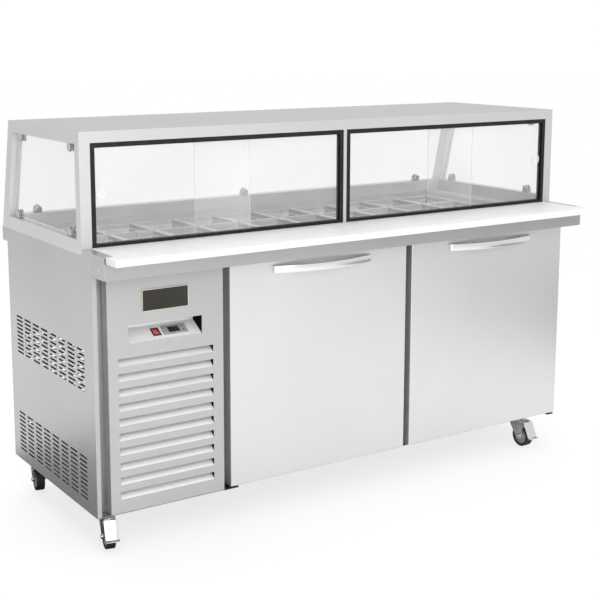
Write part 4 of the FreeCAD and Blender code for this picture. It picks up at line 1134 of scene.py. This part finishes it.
@dataclass
class CoolingUnit:
    """Condensing unit behind the grille and blown coil in the cold cabinet."""

    fin_pitch_mm: float = 4.0     # real fins are about 2 mm apart: drawn wider so that they show
    fin_mm: float = 0.8

    def build(self) -> None:
        """Builds the coils, shroud, motor and fan guard."""
        self.condenser()
        self.evaporator()

    def finned(self, name: str, low: Vector, high: Vector) -> bpy.types.Object:
        """A coil: upright fins between two end plates, crossed by tubes.

        Args:
            name: Name of the piece.
            low: Lowest corner.
            high: Highest corner.

        Returns:
            The coil.
        """
        edge = 1.5 * MM
        parts = []
        for x in (low.x, high.x - edge):
            plate = new_box(f"{name}_end", (x, low.y, low.z), (x + edge, high.y, high.z))
            parts.append(plate)
        fin = new_box(f"{name}_fin", (low.x + 3 * MM, low.y + MM, low.z + MM),
                      (low.x + (3 + self.fin_mm) * MM, high.y - MM, high.z - MM))
        activate(fin)
        row = fin.modifiers.new("row", "ARRAY")
        row.use_relative_offset = False
        row.use_constant_offset = True
        row.constant_offset_displace = (self.fin_pitch_mm * MM, 0, 0)
        row.count = int((high.x - low.x - 6 * MM) / (self.fin_pitch_mm * MM))
        bpy.ops.object.modifier_apply(modifier=row.name)
        parts.append(fin)
        rows = int((high.z - low.z) / (32 * MM))
        for n in range(rows):
            z = low.z + (n + 0.5) * (high.z - low.z) / rows
            parts.append(new_rod(f"{name}_tube", ((low.x + high.x) / 2, (low.y + high.y) / 2, z),
                                 (1, 0, 0), 5 * MM, high.x - low.x, 12))
        return paint(joined(name, parts), FIN_ALUMINIUM)

    def condenser(self) -> None:
        """Condenser coil, its fan shroud and the fan motor."""
        low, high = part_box("condenser")
        fan_low, fan_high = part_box("condenser_fan")
        fan = middle_of("condenser_fan")
        foot = 15 * MM
        coil_back = low.y + 44 * MM
        coil = self.finned("condenser_coil", Vector((low.x, low.y, low.z + foot)),
                           Vector((high.x, coil_back, high.z)))
        finish_piece(coil, BODY, "coil", "condenser")
        shroud = self.shroud("condenser_shroud", Vector((low.x, coil_back, low.z)),
                             Vector((high.x, fan_high.y + 4 * MM, high.z)), fan,
                             (fan_high.z - fan_low.z) / 2 + 8 * MM)
        finish_piece(shroud, BODY, "coil")
        motor = new_rod("condenser_motor", (fan.x, fan_high.y + 28 * MM, fan.z), (0, 1, 0), 34 * MM, 52 * MM)
        edit_faces(motor, lambda face: abs(face.normal.y) > 0.9)
        bpy.ops.mesh.inset(thickness=6 * MM)
        bpy.ops.mesh.inset(thickness=2 * MM, depth=-2 * MM)
        leave_edit()
        round_edges(motor, 2.0, 3)
        post = new_box("motor_post", (fan.x - 12 * MM, fan_high.y + 14 * MM, low.z),
                       (fan.x + 12 * MM, fan_high.y + 42 * MM, fan.z - 20 * MM))
        edit_faces(post, facing((0, 0, 1)))
        bpy.ops.mesh.inset(thickness=2 * MM)
        push((0, 0, 4 * MM))
        leave_edit()
        round_edges(post, 1.0, 2)
        unit = paint(joined("condenser_motor", [motor, post]), COMPRESSOR_ENAMEL)
        finish_piece(unit, BODY, "coil")

    def shroud(self, name: str, low: Vector, high: Vector, centre: Vector,
               radius: float) -> bpy.types.Object:
        """A square shroud with a round fan opening.

        Args:
            name: Name of the piece.
            low: Lowest corner.
            high: Highest corner.
            centre: Centre of the opening.
            radius: Radius of the opening.

        Returns:
            The shroud.
        """
        piece = new_box(name, low, high)
        hole = new_rod(f"{name}_hole", (centre.x, (low.y + high.y) / 2, centre.z), (0, 1, 0), radius,
                       high.y - low.y + 20 * MM, 64)
        activate(piece)
        cut = piece.modifiers.new("opening", "BOOLEAN")
        cut.operation = "DIFFERENCE"
        cut.object = hole
        bpy.ops.object.modifier_apply(modifier=cut.name)
        bpy.data.objects.remove(hole)
        round_edges(piece, 1.5, 2)
        return paint(piece, SHROUD_PAINT)

    def evaporator(self) -> None:
        """Evaporator coil, its cover and the wire guard over its fan."""
        low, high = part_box("evaporator")
        fan = middle_of("evaporator_fan")
        fan_low, fan_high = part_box("evaporator_fan")
        cover_back = low.y + 18 * MM
        coil = self.finned("evaporator_coil", Vector((low.x, cover_back, low.z)), high)
        finish_piece(coil, BODY, "coil", "evaporator")
        radius = (fan_high.z - fan_low.z) / 2 + 4 * MM
        cover = self.shroud("evaporator_cover", low, Vector((high.x, cover_back, high.z)), fan, radius)
        finish_piece(paint(cover, LINING), BODY, "coil")
        wire = 0.9 * MM
        front = low.y + wire
        rings = [new_ring("fan_guard", (fan.x, front, fan.z), (0, 1, 0), radius * share, wire)
                 for share in (0.25, 0.5, 0.75, 0.98)]
        spokes = [new_rod("fan_guard_spoke", (fan.x, front, fan.z),
                          (math.cos(turn), 0, math.sin(turn)), wire, 2 * radius, 8)
                  for turn in (0.0, math.pi / 3, 2 * math.pi / 3)]
        guard = paint(joined("evaporator_fan_guard", rings + spokes), SHELF_EPOXY)
        bpy.ops.object.shade_smooth_by_angle(angle=math.radians(60.0))
        finish_piece(guard, BODY, "shelf_wire")


# ---- setting ------------------------------------------------------------------------
@dataclass
class Studio:
    """Pale floor, soft light, grey cards that shade the steel, and the camera."""

    camera_at: tuple[float, float, float] = (-2.22687, -3.28175, 1.46979)
    yaw: float = 32.866
    pitch: float = -9.531
    lens_mm: float = 72.59
    shift: tuple[float, float] = (0.0308, -0.1083)
    ambient: float = 0.88

    def build(self) -> None:
        """Sets up the whole studio."""
        self.floor()
        self.sky()
        self.softbox("overhead_softbox", (0.0, -0.6, 3.4), (0.0, 0.0, 0.0), 4.0, 45.0)
        self.softbox("front_softbox", (-1.2, -4.4, 2.1), (0.0, 0.0, 0.6), 3.2, 80.0)
        self.softbox("rear_softbox", (0.3, 3.4, 2.8), (0.0, 0.1, 0.8), 3.0, 90.0, False)
        self.card("card_right", (2.6, -1.5), (1.5, 2.4))
        self.card("card_side", (-1.15, 0.1), (0.6, 1.1))
        self.camera()
        bpy.context.scene.view_settings.view_transform = "Standard"

    def floor(self) -> None:
        """A wide plain floor that fades to even white away from the table."""
        deselect()
        bpy.ops.mesh.primitive_plane_add(size=60.0, location=(0, 0, 0))
        floor = bpy.context.object
        floor.name = "studio_floor"
        paint(floor, STUDIO_PAINT)
        tree = floor.data.materials[0].node_tree
        place = add_node(tree, "ShaderNodeTexCoord")
        away = add_node(tree, "ShaderNodeVectorMath", {"operation": "LENGTH"}, {0: (place, "Object")})
        fade = add_node(tree, "ShaderNodeMapRange", inputs={
            "Value": (away, "Value"), "From Min": 1.2, "From Max": 4.0, "To Min": 0.75, "To Max": 1.0})
        path = add_node(tree, "ShaderNodeLightPath")
        seen = add_node(tree, "ShaderNodeMath", {"operation": "MULTIPLY"}, {
            0: (fade, "Result"), 1: (path, "Is Camera Ray")})
        white = add_node(tree, "ShaderNodeEmission", inputs={"Color": srgb("FFFFFF")})
        blend = add_node(tree, "ShaderNodeMixShader", inputs={
            "Fac": (seen, "Value"), 1: (tree.nodes["Principled BSDF"], "BSDF"), 2: (white, "Emission")})
        tree.links.new(blend.outputs["Shader"], tree.nodes["Material Output"].inputs["Surface"])

    def sky(self) -> None:
        """Even white surroundings, dimmer as a light than as a backdrop."""
        world = bpy.data.worlds.new("studio")
        world.use_nodes = True
        tree = world.node_tree
        path = add_node(tree, "ShaderNodeLightPath")
        strength = add_node(tree, "ShaderNodeMath", {"operation": "MULTIPLY_ADD"}, {
            0: (path, "Is Camera Ray"), 1: 1.02 - self.ambient, 2: self.ambient})
        backdrop = tree.nodes["Background"]
        backdrop.inputs["Color"].default_value = srgb("FFFFFF")
        tree.links.new(strength.outputs["Value"], backdrop.inputs["Strength"])
        bpy.context.scene.world = world

    def card(self, name: str, middle: tuple[float, float], size: tuple[float, float]) -> None:
        """A grey card on the floor that only the steel's reflections see.

        Args:
            name: Name of the card.
            middle: Its centre on the floor in metres.
            size: Its two sides in metres.
        """
        deselect()
        bpy.ops.mesh.primitive_plane_add(size=1.0, location=(*middle, 4 * MM))
        card = bpy.context.object
        card.name = name
        card.scale = (*size, 1.0)
        card.visible_camera = False
        card.visible_diffuse = False
        card.visible_shadow = False
        card.visible_transmission = False
        paint(card, CARD_PAINT)

    def softbox(self, name: str, place: tuple, aim: tuple, size: float, watts: float,
                mirrored: bool = True) -> None:
        """A square soft light.

        Args:
            name: Name of the light.
            place: Where it stands.
            aim: The point it faces.
            size: Its side in metres.
            watts: Its power.
            mirrored: Whether the steel mirrors it.
        """
        deselect()
        bpy.ops.object.light_add(type="AREA", location=place)
        lamp = bpy.context.object
        lamp.name = name
        lamp.data.size = size
        lamp.data.energy = watts
        lamp.visible_glossy = mirrored
        towards = Vector(aim) - Vector(place)
        lamp.rotation_euler = towards.to_track_quat("-Z", "Y").to_euler()

    def camera(self) -> None:
        """The camera, at eye height to the left of the front."""
        deselect()
        bpy.ops.object.camera_add(location=self.camera_at)
        camera = bpy.context.object
        camera.rotation_euler = (math.radians(90 + self.pitch), 0.0, -math.radians(self.yaw))
        camera.data.lens = self.lens_mm
        camera.data.shift_x, camera.data.shift_y = self.shift
        camera.data.clip_end = 200.0
        bpy.context.scene.camera = camera


def main() -> None:
    """Builds and dresses the prep table, then its setting."""
    logging.basicConfig(level=logging.INFO, format="%(message)s")
    SheetMetal().dress()
    for side in ("left", "right"):
        Door(side).build()
    for row in ("front", "middle", "rear"):
        FoodPans(row).build()
    GlassGuard().build()
    Board().build()
    Controls().build()
    for corner in ("fl", "fr", "rl", "rr"):
        Caster(corner, braked=corner.startswith("f")).build()
    CoolingUnit().build()
    Studio().build()
    deselect()


if __name__ == "__main__":
    main()
